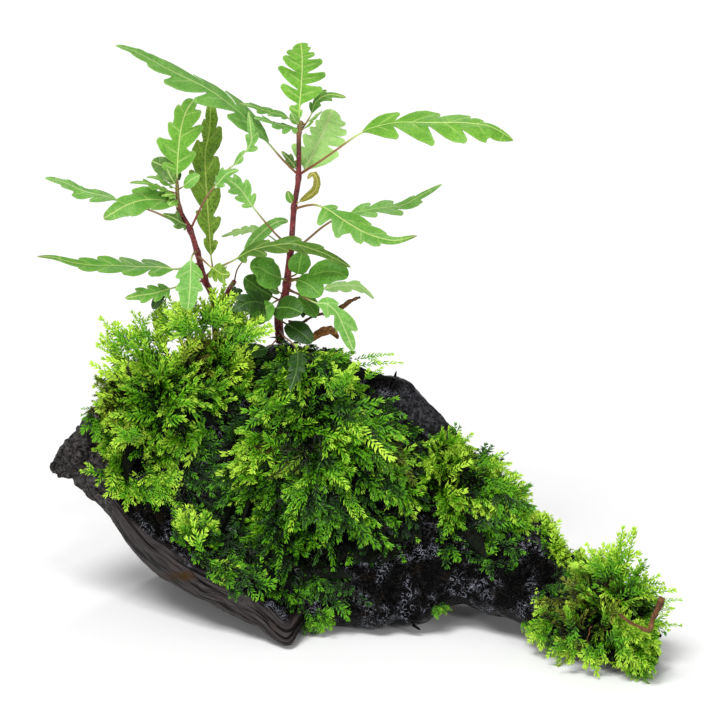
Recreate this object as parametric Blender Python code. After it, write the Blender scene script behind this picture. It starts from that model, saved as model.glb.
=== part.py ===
"""Hygrophila on driftwood: two red-stemmed water plants and moss on a boat-shaped piece of wet wood.

Metres, +Z up. The wood stands on the tip of its arm, on its front spur and on a flat sole at the back.
Places are given in millimetres as they are seen from the front, 20 degrees above level:
side is to the right, rise is up in the picture, depth is away from the viewer.
"""

import math
import random

import bmesh
import bpy
from mathutils import Vector, noise
from mathutils.bvhtree import BVHTree

MM = 0.001
VIEW_TILT = math.radians(20)  # how far above level the plant is seen from
RISE_OF_GROUND = 15.4  # rise of the ground where depth is zero, so that the arm's tip stands on it
MIDDLE_DEPTH = 8.5  # depth of the middle of the whole plant, which is the origin
GAP = 0.3  # clearance between pieces that touch
PETIOLE_RADIUS = 0.65
BLADE_HALF_THICKNESS = 0.3
STEM_SIDES = 8
SEED = 20

# One outline of the wood at each place along its length, in (depth, height), in this order: low edge of the
# front lip, outer lip, lower hollow, upper hollow, brow, crest, back, heel, back and front of the sole.
WOOD_OUTLINES = (
    (-122, (33, 54), (30, 57), (29, 59), (30, 61), (32, 62.5),
     (35, 63), (39, 61), (40, 58), (39, 55), (36, 54)),
    (-115, (30, 54.5), (24, 59), (22, 64), (24, 67), (28, 69.5),
     (35, 69), (44, 64), (46, 58), (43, 54), (37, 53)),
    (-109.5, (28, 49), (19, 55), (17, 63), (20, 72), (27, 80),
     (36, 80.5), (52, 70), (55, 60), (48, 50), (38, 47.5)),
    (-101, (26, 43), (15, 51), (14, 60), (22, 70), (30, 82),
     (42, 82), (60, 70), (65, 54), (57, 42), (42, 38.5)),
    (-91.5, (22, 26), (9, 37), (11, 47), (27, 62), (34, 84),
     (47, 84.5), (66, 68), (70, 45), (62, 29), (45, 21)),
    (-73.5, (14, 13.5), (-1, 24), (5, 38), (29, 55), (38, 88),
     (51, 92), (70, 71), (80, 24), (75, 0), (56, 0)),
    (-54.5, (6, 6.2), (-10, 14), (-4, 30), (27, 48), (42, 90),
     (55, 97), (73, 72), (76, 22), (74, 0), (46, 0)),
    (-42, (-4, 3.3), (-17, 9), (-10, 26), (25, 44), (43, 92),
     (57, 100), (75, 74), (64, 30), (60, 9), (36, 7)),
    (-32, (-17, 0), (-22, 4), (-12, 18), (23, 42), (44, 94),
     (58, 102), (76, 75), (60, 34), (54, 14), (30, 10)),
    (-27.2, (-22.8, 0), (-25, 2.5), (-12, 14), (22, 41), (44, 94),
     (58, 102), (77, 75), (60, 34), (54, 13), (27, 8)),
    (-23, (-2, 2.2), (-8, 8), (-4, 20), (21, 40), (44, 93),
     (58, 101), (77, 72), (63, 31), (57, 9), (27, 5)),
    (-9, (3, 0.5), (-6, 8), (0, 22), (21, 42), (44, 91),
     (58, 98), (78, 68), (82, 16), (76, 0), (28, 0)),
    (9, (-5, 0.4), (-12, 7), (-4, 22), (19, 42), (40, 84),
     (54, 88), (71, 58), (82, 12), (74, 0), (26, 0)),
    (14, (2, 3.7), (-6, 11), (-1, 24), (18, 42), (39, 83),
     (53, 91), (68, 56), (75, 13), (67, 0), (25, 0)),
    (24, (-6, 1.5), (-11, 9), (-3, 24), (17, 42), (37, 78),
     (51, 84), (63, 52), (60, 22), (54, 8), (26, 6)),
    (31, (4, 4.7), (-6, 13), (0, 26), (16, 42), (34, 74),
     (48, 78.5), (59, 50), (55, 28), (48, 16), (26, 12)),
    (41, (8, 8), (-4, 16), (0, 28), (14, 40), (28, 62),
     (41, 67), (53, 45), (52, 27), (44, 15), (26, 13)),
    (48, (2, 6.3), (-9, 13), (-4, 26), (11, 38), (24, 57),
     (36, 61), (49, 41), (50, 24), (42, 13), (22, 11)),
    (60, (-4, 5.9), (-15, 12), (-10, 24), (4, 34), (16, 48),
     (28, 52.5), (43, 37), (47, 20), (40, 9), (18, 7.5)),
    (72, (-14, 4.5), (-25, 10), (-21, 20), (-8, 29), (4, 39),
     (15, 44), (28, 32), (31, 20), (24, 10), (4, 7)),
    (80, (-24, 2.2), (-33, 7), (-30, 15), (-18, 23), (-6, 31),
     (4, 34.5), (15, 26), (18, 16), (11, 8), (-8, 5)),
    (91, (-34, 0.7), (-42, 5), (-40, 12), (-30, 20), (-19, 26),
     (-9, 28.5), (1, 21), (4, 13), (-2, 7), (-18, 3.5)),
    (106, (-44, 0), (-51, 3.5), (-50, 9), (-42, 15), (-33, 19),
     (-25, 20), (-16, 15), (-13, 9), (-18, 5), (-30, 2)),
    (113.5, (-44.5, 0.2), (-50, 3), (-49, 7), (-43, 11), (-37, 13.5),
     (-30, 14), (-24, 11), (-22, 7), (-26, 4), (-34, 2)),
    (119.5, (-42, 2.5), (-45, 4), (-44, 6), (-41, 8), (-38, 9.5),
     (-34, 9.5), (-31, 8), (-30, 6), (-32, 4), (-37, 2.5)),
)
STEPS_BETWEEN_KEYS = (1, 2, 3, 5, 2, 3, 3, 1, 2, 2)
RING = sum(STEPS_BETWEEN_KEYS)
KNOB_X = (-122, -118.5, -114, -109, -101.3)
BODY_X = (-101, -95, -89, -82, -73.5, -67, -60.5, -54.5, -48, -42, -36.5, -32, -27.2, -23, -14, -5, 4, 10,
          15, 20, 25, 33, 41, 50, 58, 66)
ARM_X = (66.3, 72, 77, 83, 91, 98, 106, 111, 116, 119.5)
WOOD_X = KNOB_X + BODY_X + ARM_X
GRAIN_LENGTH, GRAIN_WIDTH, GRAIN_DEPTH = 45, 13, 2.6  # long soft ridges along the wood
FIRST_ROUGH, LAST_ROUGH = 2, 19  # the part of each outline that the grain's ridges move

# Stems: axis points as (side, rise, depth) and the radius at each.
STEMS = {
    "main": (
        (-31.6, 132, 60, 2.0), (-32.2, 142, 59, 1.9), (-29.6, 150.4, 58, 1.7), (-28.2, 161.6, 56, 1.5),
        (-27, 172.4, 54, 1.35), (-26, 185.2, 52, 1.3), (-24.2, 197.2, 51, 1.2), (-24, 214.8, 50, 1.1),
        (-22.8, 219.2, 50, 1.0),
    ),
    "left": (
        (-57.2, 129, 62, 1.6), (-58.4, 147.2, 58, 1.5), (-62, 156.4, 54, 1.35), (-64.8, 167.2, 52, 1.25),
        (-67.6, 176, 50, 1.2), (-72, 184.8, 48, 1.1), (-72.8, 195, 47, 0.9),
    ),
    "short": ((-52.4, 130, 64, 1.2), (-53.6, 146.8, 62, 1.1), (-50, 155.6, 60, 1.0)),
}
NODE_SWELLING = 1.18
NODE_REACH = 2.5  # how far above and below a node the stem is thicker
ABOVE = Vector((0, 0, 0.1))  # well above any place on the wood
STEM_NODES = {"main": (185.2, 197.2, 155, 214.8), "left": (167.2, 176, 184.8), "short": (146.8,)}

FIRST_NOTCH, LAST_NOTCH = 0.04, 0.92  # where a lobed blade's edge starts and ends, as shares of its length
LOBE_CORNERS = ((0.0, True, 1.0), (0.28, False, 0.85), (0.72, False, 1.0))  # place, whether a notch, width
BLADE_TIP = (0.94, 0.3, False)
ROUND_BLADE = (0.1, 0.25, 0.42, 0.6, 0.78, 0.92)  # where a round leaf's edge has its corners
LOBE_FORWARD = 0.12  # how far lobes point ahead, as a share of the half width
NARROWEST_BLADE = 0.8

LEAF_COLOURS = {
    "bright": (0.20, 0.50, 0.07), "fresh": (0.16, 0.42, 0.08), "blue": (0.10, 0.32, 0.10),
    "round": (0.10, 0.33, 0.05), "pale": (0.30, 0.50, 0.18), "dark": (0.035, 0.12, 0.02),
    "speckled": (0.13, 0.22, 0.035), "dying": (0.30, 0.22, 0.05), "dead": (0.16, 0.07, 0.03),
}

# Leaves: the stem each grows from, its middle line as (side, rise, depth), how many of those points
# are stalk, half the blade's width, lobes a side, how deep they are cut, and the way its face looks.
UP = (0, -0.24, 1)
FRONT = (0, -1, 0.35)
SLOPING = (0, -0.75, 0.7)
LEAVES = {
    "leaf_main_top": ("main", "bright", ((-22.8, 219.2, 50), (-24, 221, 49.5), (-22.8, 237.2, 50),
                      (-22.8, 246.4, 49), (-24.4, 250.8, 48)), 1, 9.6, 5, 0.62, FRONT),
    "leaf_main_right_long": ("main", "bright", ((-24.2, 198, 51), (-14.8, 204, 46), (-6.8, 209.6, 44),
                             (1.6, 215, 42), (14.4, 218.4, 40), (28.4, 218.8, 38), (41.6, 218.8, 37),
                             (52.4, 217.2, 36), (61.6, 211.6, 35)), 4, 9, 6, 0.55, (0, -0.28, 1)),
    "leaf_main_left_long": ("main", "blue", ((-24.2, 198, 51), (-32.8, 206.4, 48), (-40, 214.8, 46),
                            (-44.4, 219.6, 45), (-51.4, 225.8, 44), (-61.2, 232.8, 42), (-76.8, 240.4, 40),
                            (-88, 246.2, 38.5), (-97.2, 249.2, 37)), 4, 8.6, 6, 0.5, (-0.1, -0.3, 1)),
    "leaf_main_top_left_upper": ("main", "fresh", ((-23.4, 217.5, 50), (-29, 221, 46.5), (-36, 223, 44),
                                 (-42.8, 225.6, 42), (-48, 226.4, 41)), 2, 3.6, 3, 0.4, UP),
    "leaf_main_top_left_lower": ("main", "blue", ((-23.8, 216, 50), (-27, 217, 45), (-32, 218, 41),
                                 (-37, 219.5, 38), (-42, 220.4, 36)), 2, 4.4, 3, 0.25, UP),
    "leaf_main_behind": ("main", "pale", ((-24.2, 198, 51), (-21.6, 200.4, 56), (-17.2, 209.2, 60),
                         (-13.2, 217.4, 63), (-10.8, 224.4, 65)), 2, 9, 5, 0.45, (0.1, -1, 0.5)),
    "leaf_main_top_right": ("main", "fresh", ((-23, 216, 50), (-19.5, 221.5, 54), (-17, 227, 56),
                            (-12, 230, 57), (-5.2, 229.2, 58)), 2, 3, 2, 0.3, (-0.5, -0.5, 0.7)),
    "leaf_main_curled": ("main", "dying", ((-26, 186, 52), (-20.8, 189.2, 46.5), (-17.6, 192, 45),
                         (-16.8, 196, 44), (-18.4, 198.8, 44), (-20.6, 196.4, 43.5)),
                         2, 2.4, 0, 0, (0.3, -0.9, 0.4)),
    "leaf_main_right_drooping": ("main", "fresh", ((-26, 184.4, 52), (-22, 185.6, 48), (-17.2, 186, 43),
                                 (-11.6, 183.6, 39), (-5.6, 179.6, 36), (2, 175.2, 33), (9.6, 172.4, 31),
                                 (15.6, 171.6, 30), (23.4, 173.6, 29)), 3, 7.4, 5, 0.5, (-0.1, -0.6, 0.8)),
    "leaf_main_right_rising": ("main", "blue", ((-27.6, 168, 55), (-22, 171.2, 59), (-14.8, 177.2, 62),
                               (-7.5, 181.4, 64), (2, 183.6, 65), (9.6, 184.8, 66), (17.2, 186, 67),
                               (24.8, 190, 68), (33.2, 194.4, 69)), 4, 5.2, 5, 0.45, (0, -0.15, 1)),
    "leaf_main_left_low": ("main", "blue", ((-27.3, 169.5, 54.5), (-32.4, 173.5, 50), (-37.2, 178.8, 47),
                           (-42.4, 185.2, 45), (-47.6, 192.4, 46), (-52.8, 196, 46), (-56, 194.4, 45.5)),
                           4, 3.8, 2, 0.3, (-0.3, -0.6, 0.7)),
    "leaf_main_pale_behind": ("main", "pale", ((-27.6, 168, 55), (-31, 170, 60), (-36.4, 174, 65),
                              (-42, 176, 67), (-48.4, 175.6, 68), (-55.2, 173.6, 69)), 3, 3, 3, 0.4, UP),
    "leaf_round_left_upper": ("main", "round", ((-28.6, 155.6, 57), (-32, 157, 52), (-36, 158.6, 48.5),
                              (-40, 161, 46.5), (-43.6, 161, 45)), 2, 5.6, 0, 0, (0, -0.85, 0.6)),
    "leaf_round_left_lower": ("main", "round", ((-31.2, 147.6, 58.5), (-35, 149.6, 55), (-39, 152, 53),
                              (-43, 154.8, 52), (-46, 157, 51.5)), 2, 4.8, 0, 0, (0, -0.85, 0.6)),
    "leaf_dark_lobed_left": ("main", "dark", ((-32.2, 140.6, 59.1), (-37.6, 146, 49), (-44, 147, 42),
                             (-50.8, 143.6, 38)), 1, 5.2, 3, 0.3, SLOPING),
    "leaf_round_upright": ("main", "round", ((-28.4, 157, 57), (-24.8, 158.8, 52.5), (-23.8, 162.6, 50.5),
                           (-22.8, 167.4, 49.5)), 1, 4.3, 0, 0, (0.2, -1, 0.3)),
    "leaf_round_right": ("main", "round", ((-28.4, 156, 57), (-20.4, 157.6, 52), (-13.2, 159.4, 49),
                         (-8, 159, 47), (-4.8, 156.8, 45)), 2, 4.2, 0, 0, (0, -0.8, 0.7)),
    "leaf_round_right_lower": ("main", "round", ((-28.6, 155, 57), (-24.6, 156, 51), (-19.4, 153.6, 47),
                               (-15.2, 149.6, 44.5)), 2, 4.4, 0, 0, (-0.2, -0.7, 0.7)),
    "leaf_round_front": ("main", "round", ((-32.2, 143, 59), (-33.6, 144.6, 51), (-28.4, 145, 45),
                         (-22.8, 142.8, 41)), 1, 5.2, 0, 0, (0.15, -0.8, 0.6)),
    "leaf_pale_right_thin": ("main", "pale", ((-28.2, 157, 57), (-20, 154, 61), (-14.4, 152.6, 63),
                             (-10, 153.6, 64), (-4.8, 154, 65), (0.4, 153.2, 66), (6, 148.6, 67)),
                             3, 3, 3, 0.25, (0, -0.4, 0.9)),
    "leaf_lobed_drooping": ("main", "blue", ((-29.4, 152.4, 58), (-24.6, 150.6, 51), (-21, 148.6, 44),
                            (-17, 146.8, 39), (-12.8, 146.4, 37), (-8.8, 142.6, 36), (-6.4, 137.6, 35),
                            (-4, 132.2, 34.5), (-2.2, 127.6, 34)), 4, 5, 4, 0.5, (0.2, -0.9, 0.5)),
    "leaf_dark_front": ("main", "dark", ((-32, 140, 59.2), (-29, 138.4, 51), (-24, 135.4, 46),
                        (-18.8, 131, 43)), 1, 4.2, 0, 0, SLOPING),
    "leaf_dark_hanging": ("main", "dark", ((-32.4, 137, 59.3), (-30, 133.4, 48), (-27, 131, 37),
                          (-24.6, 127, 26), (-25, 120, 16), (-27.6, 111.6, 10)), 3, 3.2, 3, 0.25, FRONT),
    "leaf_dark_long": ("main", "dark", ((-31.8, 135, 59.6), (-33.5, 131.8, 50), (-37, 128.6, 44),
                       (-42, 128, 40), (-46.4, 129.2, 38)), 2, 2.9, 0, 0, SLOPING),
    "leaf_left_top": ("left", "bright", ((-72.8, 195, 47), (-72.8, 198.5, 46.5), (-72.2, 208, 46),
                      (-71.2, 216, 45), (-69.2, 223, 44.5), (-66, 228, 44)), 1, 8.8, 5, 0.48, FRONT),
    "leaf_left_folded_behind": ("left", "pale", ((-72.8, 194, 47), (-74.4, 197.6, 50.5), (-77.4, 201, 52.5),
                                (-83, 203.6, 54)), 2, 3.8, 0, 0, (0.3, -0.9, 0.4)),
    "leaf_left_thin_tip": ("left", "fresh", ((-72.6, 190.5, 47.4), (-77, 192, 43), (-84, 194.5, 40),
                           (-91.6, 194.8, 38)), 1, 2.6, 2, 0.3, UP),
    "leaf_left_small_right": ("left", "blue", ((-72.7, 192, 47.2), (-70, 193.6, 43.5), (-67, 196, 41),
                              (-63.6, 197.8, 40)), 1, 2.6, 0, 0, (0.1, -0.7, 0.7)),
    "leaf_left_wide": ("left", "fresh", ((-72, 184.8, 48), (-75.6, 187.2, 44), (-84.4, 188, 40.5),
                       (-90.8, 186.8, 38), (-97.2, 183.6, 36), (-102, 180.4, 35)), 2, 6.2, 4, 0.4,
                       (-0.1, -0.6, 0.8)),
    "leaf_left_long_thin": ("left", "blue", ((-67.6, 176, 50), (-70.5, 177.8, 54), (-76.4, 180.8, 57),
                            (-83.6, 184, 59), (-91.6, 186.4, 60), (-97.2, 188, 61), (-103.6, 190, 62),
                            (-110, 191.6, 63), (-117.6, 194.8, 64), (-126, 196.8, 65)), 5, 4.6, 4, 0.4,
                            (0, -0.2, 1)),
    "leaf_left_small_pale": ("left", "pale", ((-68.6, 178, 49.6), (-71.4, 179, 45), (-75, 181, 42.5),
                             (-78.6, 182.4, 41.5)), 1, 2.2, 0, 0, SLOPING),
    "leaf_left_twisted": ("left", "blue", ((-67.6, 176, 50), (-62.4, 186.8, 44), (-58, 193.2, 41),
                          (-53, 199.5, 39), (-50, 202, 38), (-46.4, 206, 37), (-43, 211, 36),
                          (-43.2, 216, 35), (-44, 223.2, 34)), 3, 4.2, 4, 0.4, (0.4, -0.8, 0.4)),
    "leaf_left_speckled": ("left", "speckled", ((-62, 157, 54), (-59, 160.6, 57.6), (-59.4, 166, 59),
                           (-60, 176, 60), (-61, 190, 61), (-61.6, 206, 62), (-60, 215.2, 63),
                           (-59.2, 228, 64)), 2, 4.5, 5, 0.3, FRONT),
    "leaf_left_long_low": ("left", "fresh", ((-63.4, 163, 53), (-68, 161.5, 48), (-73.2, 160.4, 46),
                           (-79.6, 161.2, 45), (-88.4, 161.2, 43), (-96.8, 161.6, 42), (-105.6, 161.6, 41),
                           (-114.4, 162.8, 40), (-122.8, 165.2, 39), (-128.8, 165.6, 38.5)),
                           3, 5.6, 6, 0.4, UP),
    "leaf_left_front_drooping": ("left", "blue", ((-64.8, 167.2, 52), (-66, 167, 47), (-67.2, 164, 42),
                                 (-67.4, 157.6, 38), (-67.8, 150.4, 35), (-68.4, 144, 34)),
                                 2, 5.6, 4, 0.25, FRONT),
    "leaf_left_olive_curled": ("left", "speckled", ((-64.8, 166, 52), (-62.4, 164, 46.5), (-58.8, 160.8, 44),
                               (-55, 158.4, 42), (-51.6, 158.4, 41)), 2, 4.4, 3, 0.3, (0.2, -0.7, 0.7)),
    "leaf_left_brown_tipped": ("left", "fresh", ((-61.8, 156, 54), (-68, 154.4, 49.5), (-75.6, 152.6, 46),
                               (-82, 150.6, 43), (-88, 149.8, 41), (-93.6, 148.8, 39)),
                               2, 3.8, 3, 0.4, SLOPING),
    "leaf_crossing": ("left", "fresh", ((-62, 156.4, 54), (-56, 161.6, 47), (-50, 165.6, 45),
                      (-44, 169.4, 43.5), (-36, 171.4, 43), (-26.4, 172.4, 42), (-18, 168.8, 42),
                      (-11.6, 166.4, 42), (-3.2, 161.2, 42)), 3, 4.8, 4, 0.4, (0, -0.45, 0.9)),
    "leaf_narrow_folded": ("short", "blue", ((-50, 155.6, 60), (-48.8, 160.4, 58.5), (-45.6, 165.2, 58),
                           (-42.8, 171.2, 58.5), (-36.4, 177.2, 59), (-32, 179.6, 60), (-28.4, 179.6, 61)),
                           2, 2.6, 0, 0, (-0.3, -0.7, 0.6)),
}

# Loose dry pieces: middle line, half width and colour.
DRY_PIECES = {
    "dry_leaf_stalk": (((-28.4, 139.6, 62.5), (-23.2, 139.4, 64), (-16.8, 141.6, 66), (-6.4, 145.6, 67),
                        (0.4, 149.2, 68)), 1.2, "dead"),
    "dead_leaf_on_crest": (((-20.5, 131.4, 57), (-16.8, 134.2, 58), (-11.6, 136.4, 60),
                            (-8.4, 133, 62)), 2, "dead"),
}
BROWN_TWIG = ((120.8, 29.6, -62), (116.8, 20.8, -64.5), (115.6, 16.4, -65), (110.8, 18.2, -65.5),
              (106, 20.8, -65), (101.6, 24.4, -63))
TWIG_RADIUS = 0.8
TWIG_SIDES = 6
DRY_SIDES = 5

# Moss: patches of the wood's outline grid as (first x, last x, first step, last step), the height,
# the way the shoots lean, how ragged the top is, and the places that the longest shoots reach.
MOSS = {
    "moss_heap_left": (
        ((-101, -48, 9, 13), (-48, -42, 10, 13), (-101, -82, 6, 9), (-95, -67, 7, 9), (-82, -73.5, 6, 7)),
        19, (0, -0.15, 1.0), 0.42,
        ((-105.6, 108, 38), (-99.6, 130, 44), (-93.6, 139, 46), (-83.6, 142.5, 46), (-67.6, 147, 47),
         (-52, 144.5, 47), (-101, 117, 36), (-88, 128, 30), (-75, 128, 25), (-60, 126, 22), (-97, 96, 20),
         (-86, 78, 8)),
    ),
    "moss_bank_middle": (
        ((-54.5, -42, 5, 9), (-42, 4, 4, 11), (4, 15, 4, 10), (-32, -5, 3, 12), (15, 25, 5, 10),
         (-14, -5, 12, 13)),
        17, (0, -0.4, 0.55), 0.42,
        ((-52, 88, 4), (-40, 100, 12), (-18, 102, 14), (-10, 112, 22), (2, 121, 34), (-56, 62, 0),
         (-40, 52, -14), (-24, 40, -20), (-6, 44, -20), (8, 60, -10), (-44, 74, -4), (-20, 84, -4),
         (0, 92, 4), (16, 104, 16), (-30, 62, -16), (-10, 66, -14), (14, 127.6, 40)),
    ),
    "moss_bank_right": (
        ((25, 50, 7, 10), (33, 50, 5, 11), (50, 58, 8, 13), (58, 66, 9, 12)), 14, (0.3, -0.3, 0.7), 0.42,
        ((30, 101, 30), (44, 92, 24), (56, 78, 18), (66, 66, 8), (70, 58, 0), (36, 68, -6), (50, 52, -12),
         (26, 84, 6)),
    ),
    "moss_tuft_low_left": (
        ((-73.5, -54.5, 3, 5),), 7, (0.2, -0.3, 0.8), 0.5,
        ((-70, 60, 2), (-66, 50, -4), (-56, 42, -6)),
    ),
    "moss_strip_arm_edge": (
        ((72, 83, 10, 14),), 5, (0.3, -0.1, 1.0), 0.5,
        ((76, 58, 8), (80, 52, 6)),
    ),
    "moss_tuft_arm_end": (
        ((83, 116, 2, 15), (106, 116, 1, 16), (72, 83, 1, 4)), 12, (0.15, -0.25, 0.9), 0.5,
        ((106, 53.2, -34), (94.8, 48, -28), (88, 44, -22), (121.2, 37.6, -34), (129, 31.2, -36),
         (128, 23.6, -40), (128.8, 16.4, -44), (99, 22, -62), (88, 20, -52), (113, 44, -42), (100, 36, -50),
         (71, 14.4, -30), (78, 9, -38)),
    ),
}
MOSS_FOOT = 1.1  # height of a patch at its own edge
GROWTH_OFF_WOOD = 0.9  # how far shoots follow the surface's own direction, against their lean
MOSS_UNDERSIDE = 1.3 * GAP  # clearance of a clump's underside, a little more because the wood is faceted
MOSS_RISE = (0.0, 0.5, 0.85, 1.0)  # share of the height reached at each half step in from the edge
MOSS_COLOURS = {"moss_heap_left": (0.24, 0.42, 0.02), "moss_tuft_arm_end": (0.22, 0.40, 0.03)}
MOSS_COLOUR = (0.10, 0.26, 0.015)
WOOD_COLOUR = (0.02, 0.018, 0.018)
STEM_COLOUR = (0.15, 0.035, 0.03)
WOOD_ROUGHNESS, MOSS_ROUGHNESS, PLANT_ROUGHNESS = 0.35, 0.8, 0.45
SHARP_EDGE = math.radians(50)  # edges that turn more than this stay crisp on round pieces


def seen(side, rise, depth):
    """A place in metres from where it is seen, in millimetres."""
    height = (rise - RISE_OF_GROUND - depth * math.sin(VIEW_TILT)) / math.cos(VIEW_TILT)
    return Vector((side, depth - MIDDLE_DEPTH, height)) * MM


def clear_scene():
    for old in list(bpy.data.objects):
        bpy.data.objects.remove(old, do_unlink=True)


def finish_material(name, colour, roughness):
    material = bpy.data.materials.new(name)
    material.use_nodes = True
    shader = material.node_tree.nodes["Principled BSDF"]
    shader.inputs["Base Color"].default_value = (*colour, 1)
    shader.inputs["Roughness"].default_value = roughness
    shader.inputs["Metallic"].default_value = 0
    material.diffuse_color = (*colour, 1)
    return material


def make_object(name, mesh_builder, colour, roughness, smooth=True):
    """Turns a finished bmesh into a named object with its own material."""
    bmesh.ops.recalc_face_normals(mesh_builder, faces=mesh_builder.faces)
    if mesh_builder.calc_volume(signed=True) < 0:
        bmesh.ops.reverse_faces(mesh_builder, faces=mesh_builder.faces)
    mesh = bpy.data.meshes.new(name)
    mesh_builder.to_mesh(mesh)
    mesh_builder.free()
    if smooth:
        mesh.shade_smooth()
        mesh.set_sharp_from_angle(angle=SHARP_EDGE)
    mesh.materials.append(finish_material(name + "_finish", colour, roughness))
    piece = bpy.data.objects.new(name, mesh)
    bpy.context.scene.collection.objects.link(piece)
    return piece


def even_curve(places, values, place):
    """Smooth value at a place between given ones, which never swings past its neighbours."""
    last = len(places) - 1
    i = max(0, min(last - 1, sum(1 for p in places if p <= place) - 1))
    widths = [places[k + 1] - places[k] for k in range(last)]
    slopes = [(values[k + 1] - values[k]) / widths[k] for k in range(last)]

    def tangent(k):
        if k in (0, last) or slopes[k - 1] * slopes[k] <= 0:
            return 0.0
        return 2 * slopes[k - 1] * slopes[k] / (slopes[k - 1] + slopes[k])

    t = (place - places[i]) / widths[i]
    return (
        values[i] * (1 + 2 * t) * (1 - t) ** 2
        + widths[i] * tangent(i) * t * (1 - t) ** 2
        + values[i + 1] * t * t * (3 - 2 * t)
        + widths[i] * tangent(i + 1) * t * t * (t - 1)
    )


def curve_through(points, t, closed=False):
    """Point at t, from 0 to 1, on a smooth curve through all the points."""
    spans = len(points) if closed else len(points) - 1
    i = min(int(t * spans), spans - 1)
    f = t * spans - i

    def pick(k):
        return points[k % len(points)] if closed else points[max(0, min(len(points) - 1, k))]

    a, b, c, d = (pick(i + k) for k in (-1, 0, 1, 2))
    return (2 * b + (c - a) * f + (2 * a - 5 * b + 4 * c - d) * f**2 + (3 * b - a - 3 * c + d) * f**3) * 0.5


def wood_outline(x):
    """The closed outline of the wood at x, as RING points in metres."""
    places = [row[0] for row in WOOD_OUTLINES]
    keys = []
    for k in range(len(STEPS_BETWEEN_KEYS)):
        y = even_curve(places, [row[1 + k][0] for row in WOOD_OUTLINES], x)
        z = even_curve(places, [row[1 + k][1] for row in WOOD_OUTLINES], x)
        keys.append(Vector((x, y, z)))
    outline = []
    for k, steps in enumerate(STEPS_BETWEEN_KEYS):
        for step in range(steps):
            outline.append(curve_through(keys, (k + step / steps) / len(keys), closed=True))
    middle = sum(outline, Vector()) / RING
    for j in range(FIRST_ROUGH, LAST_ROUGH):
        away = (outline[j] - middle).normalized()
        place = Vector((x / GRAIN_LENGTH, outline[j].y / GRAIN_WIDTH, outline[j].z / GRAIN_WIDTH))
        outline[j] = outline[j] + away * GRAIN_DEPTH * noise.noise(place)
    return [Vector((x, p.y - MIDDLE_DEPTH, max(p.z, 0.0))) * MM for p in outline]


def corners(i, j):
    """The two triangles of one square of the wood's grid, as grid places."""
    a, b, c, d = (i, j), (i + 1, j), (i + 1, j + 1), (i, j + 1)
    return ((a, b, c), (a, c, d))


def wood_piece(name, grid, first, last):
    """A closed length of the wood between two of its outlines."""
    builder = bmesh.new()
    verts = {(i, j): builder.verts.new(grid[i][j]) for i in range(first, last + 1) for j in range(RING)}
    for i in range(first, last):
        for j in range(RING):
            for triangle in corners(i, j):
                builder.faces.new([verts[(a, b % RING)] for a, b in triangle])
    ends = [builder.faces.new([verts[(i, j)] for j in range(RING)]) for i in (first, last)]
    bmesh.ops.triangulate(builder, faces=ends, ngon_method="EAR_CLIP")
    return make_object(name, builder, WOOD_COLOUR, WOOD_ROUGHNESS, smooth=False)


def grid_normals(grid):
    """The outward direction at each place of the wood's grid."""
    normals = [[Vector() for _ in range(RING)] for _ in grid]
    for i in range(len(grid) - 1):
        for j in range(RING):
            for triangle in corners(i, j):
                a, b, c = (grid[k][m % RING] for k, m in triangle)
                turned = (b - a).cross(c - a)
                for k, m in triangle:
                    normals[k][m % RING] += turned
    return [[n.normalized() for n in row] for row in normals]


def moss_cells(patches):
    """The squares of the wood's grid that a clump covers."""
    cells = set()
    for x_from, x_to, j_from, j_to in patches:
        for i in range(len(WOOD_X) - 1):
            if WOOD_X[i] >= x_from - 0.5 and WOOD_X[i + 1] <= x_to + 0.5:
                cells.update((i, j) for j in range(j_from, j_to))
    return cells


def halfway(table, a, b):
    """Value of a grid table at a place counted in half steps."""
    rows = (a // 2, (a + 1) // 2)
    columns = (b // 2, (b + 1) // 2)
    total = Vector()
    for i in rows:
        for j in columns:
            total += table[i][j % RING]
    return total / 4


def steps_from_edge(fine_cells):
    """How many half steps each corner of a clump lies from the clump's edge."""
    corner_cells = {}
    for a, b in fine_cells:
        for corner in ((a, b), (a + 1, b), (a + 1, b + 1), (a, b + 1)):
            corner_cells.setdefault(corner, set()).add((a, b))
    steps = {corner: 0 for corner, around in corner_cells.items() if len(around) < 4}
    ring = set(steps)
    count = 0
    while ring:
        count += 1
        nearby = set()
        for corner in ring:
            for a, b in corner_cells[corner]:
                nearby.update(((a, b), (a + 1, b), (a + 1, b + 1), (a, b + 1)))
        ring = {corner for corner in nearby if corner not in steps}
        steps.update({corner: count for corner in ring})
    return steps


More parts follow.
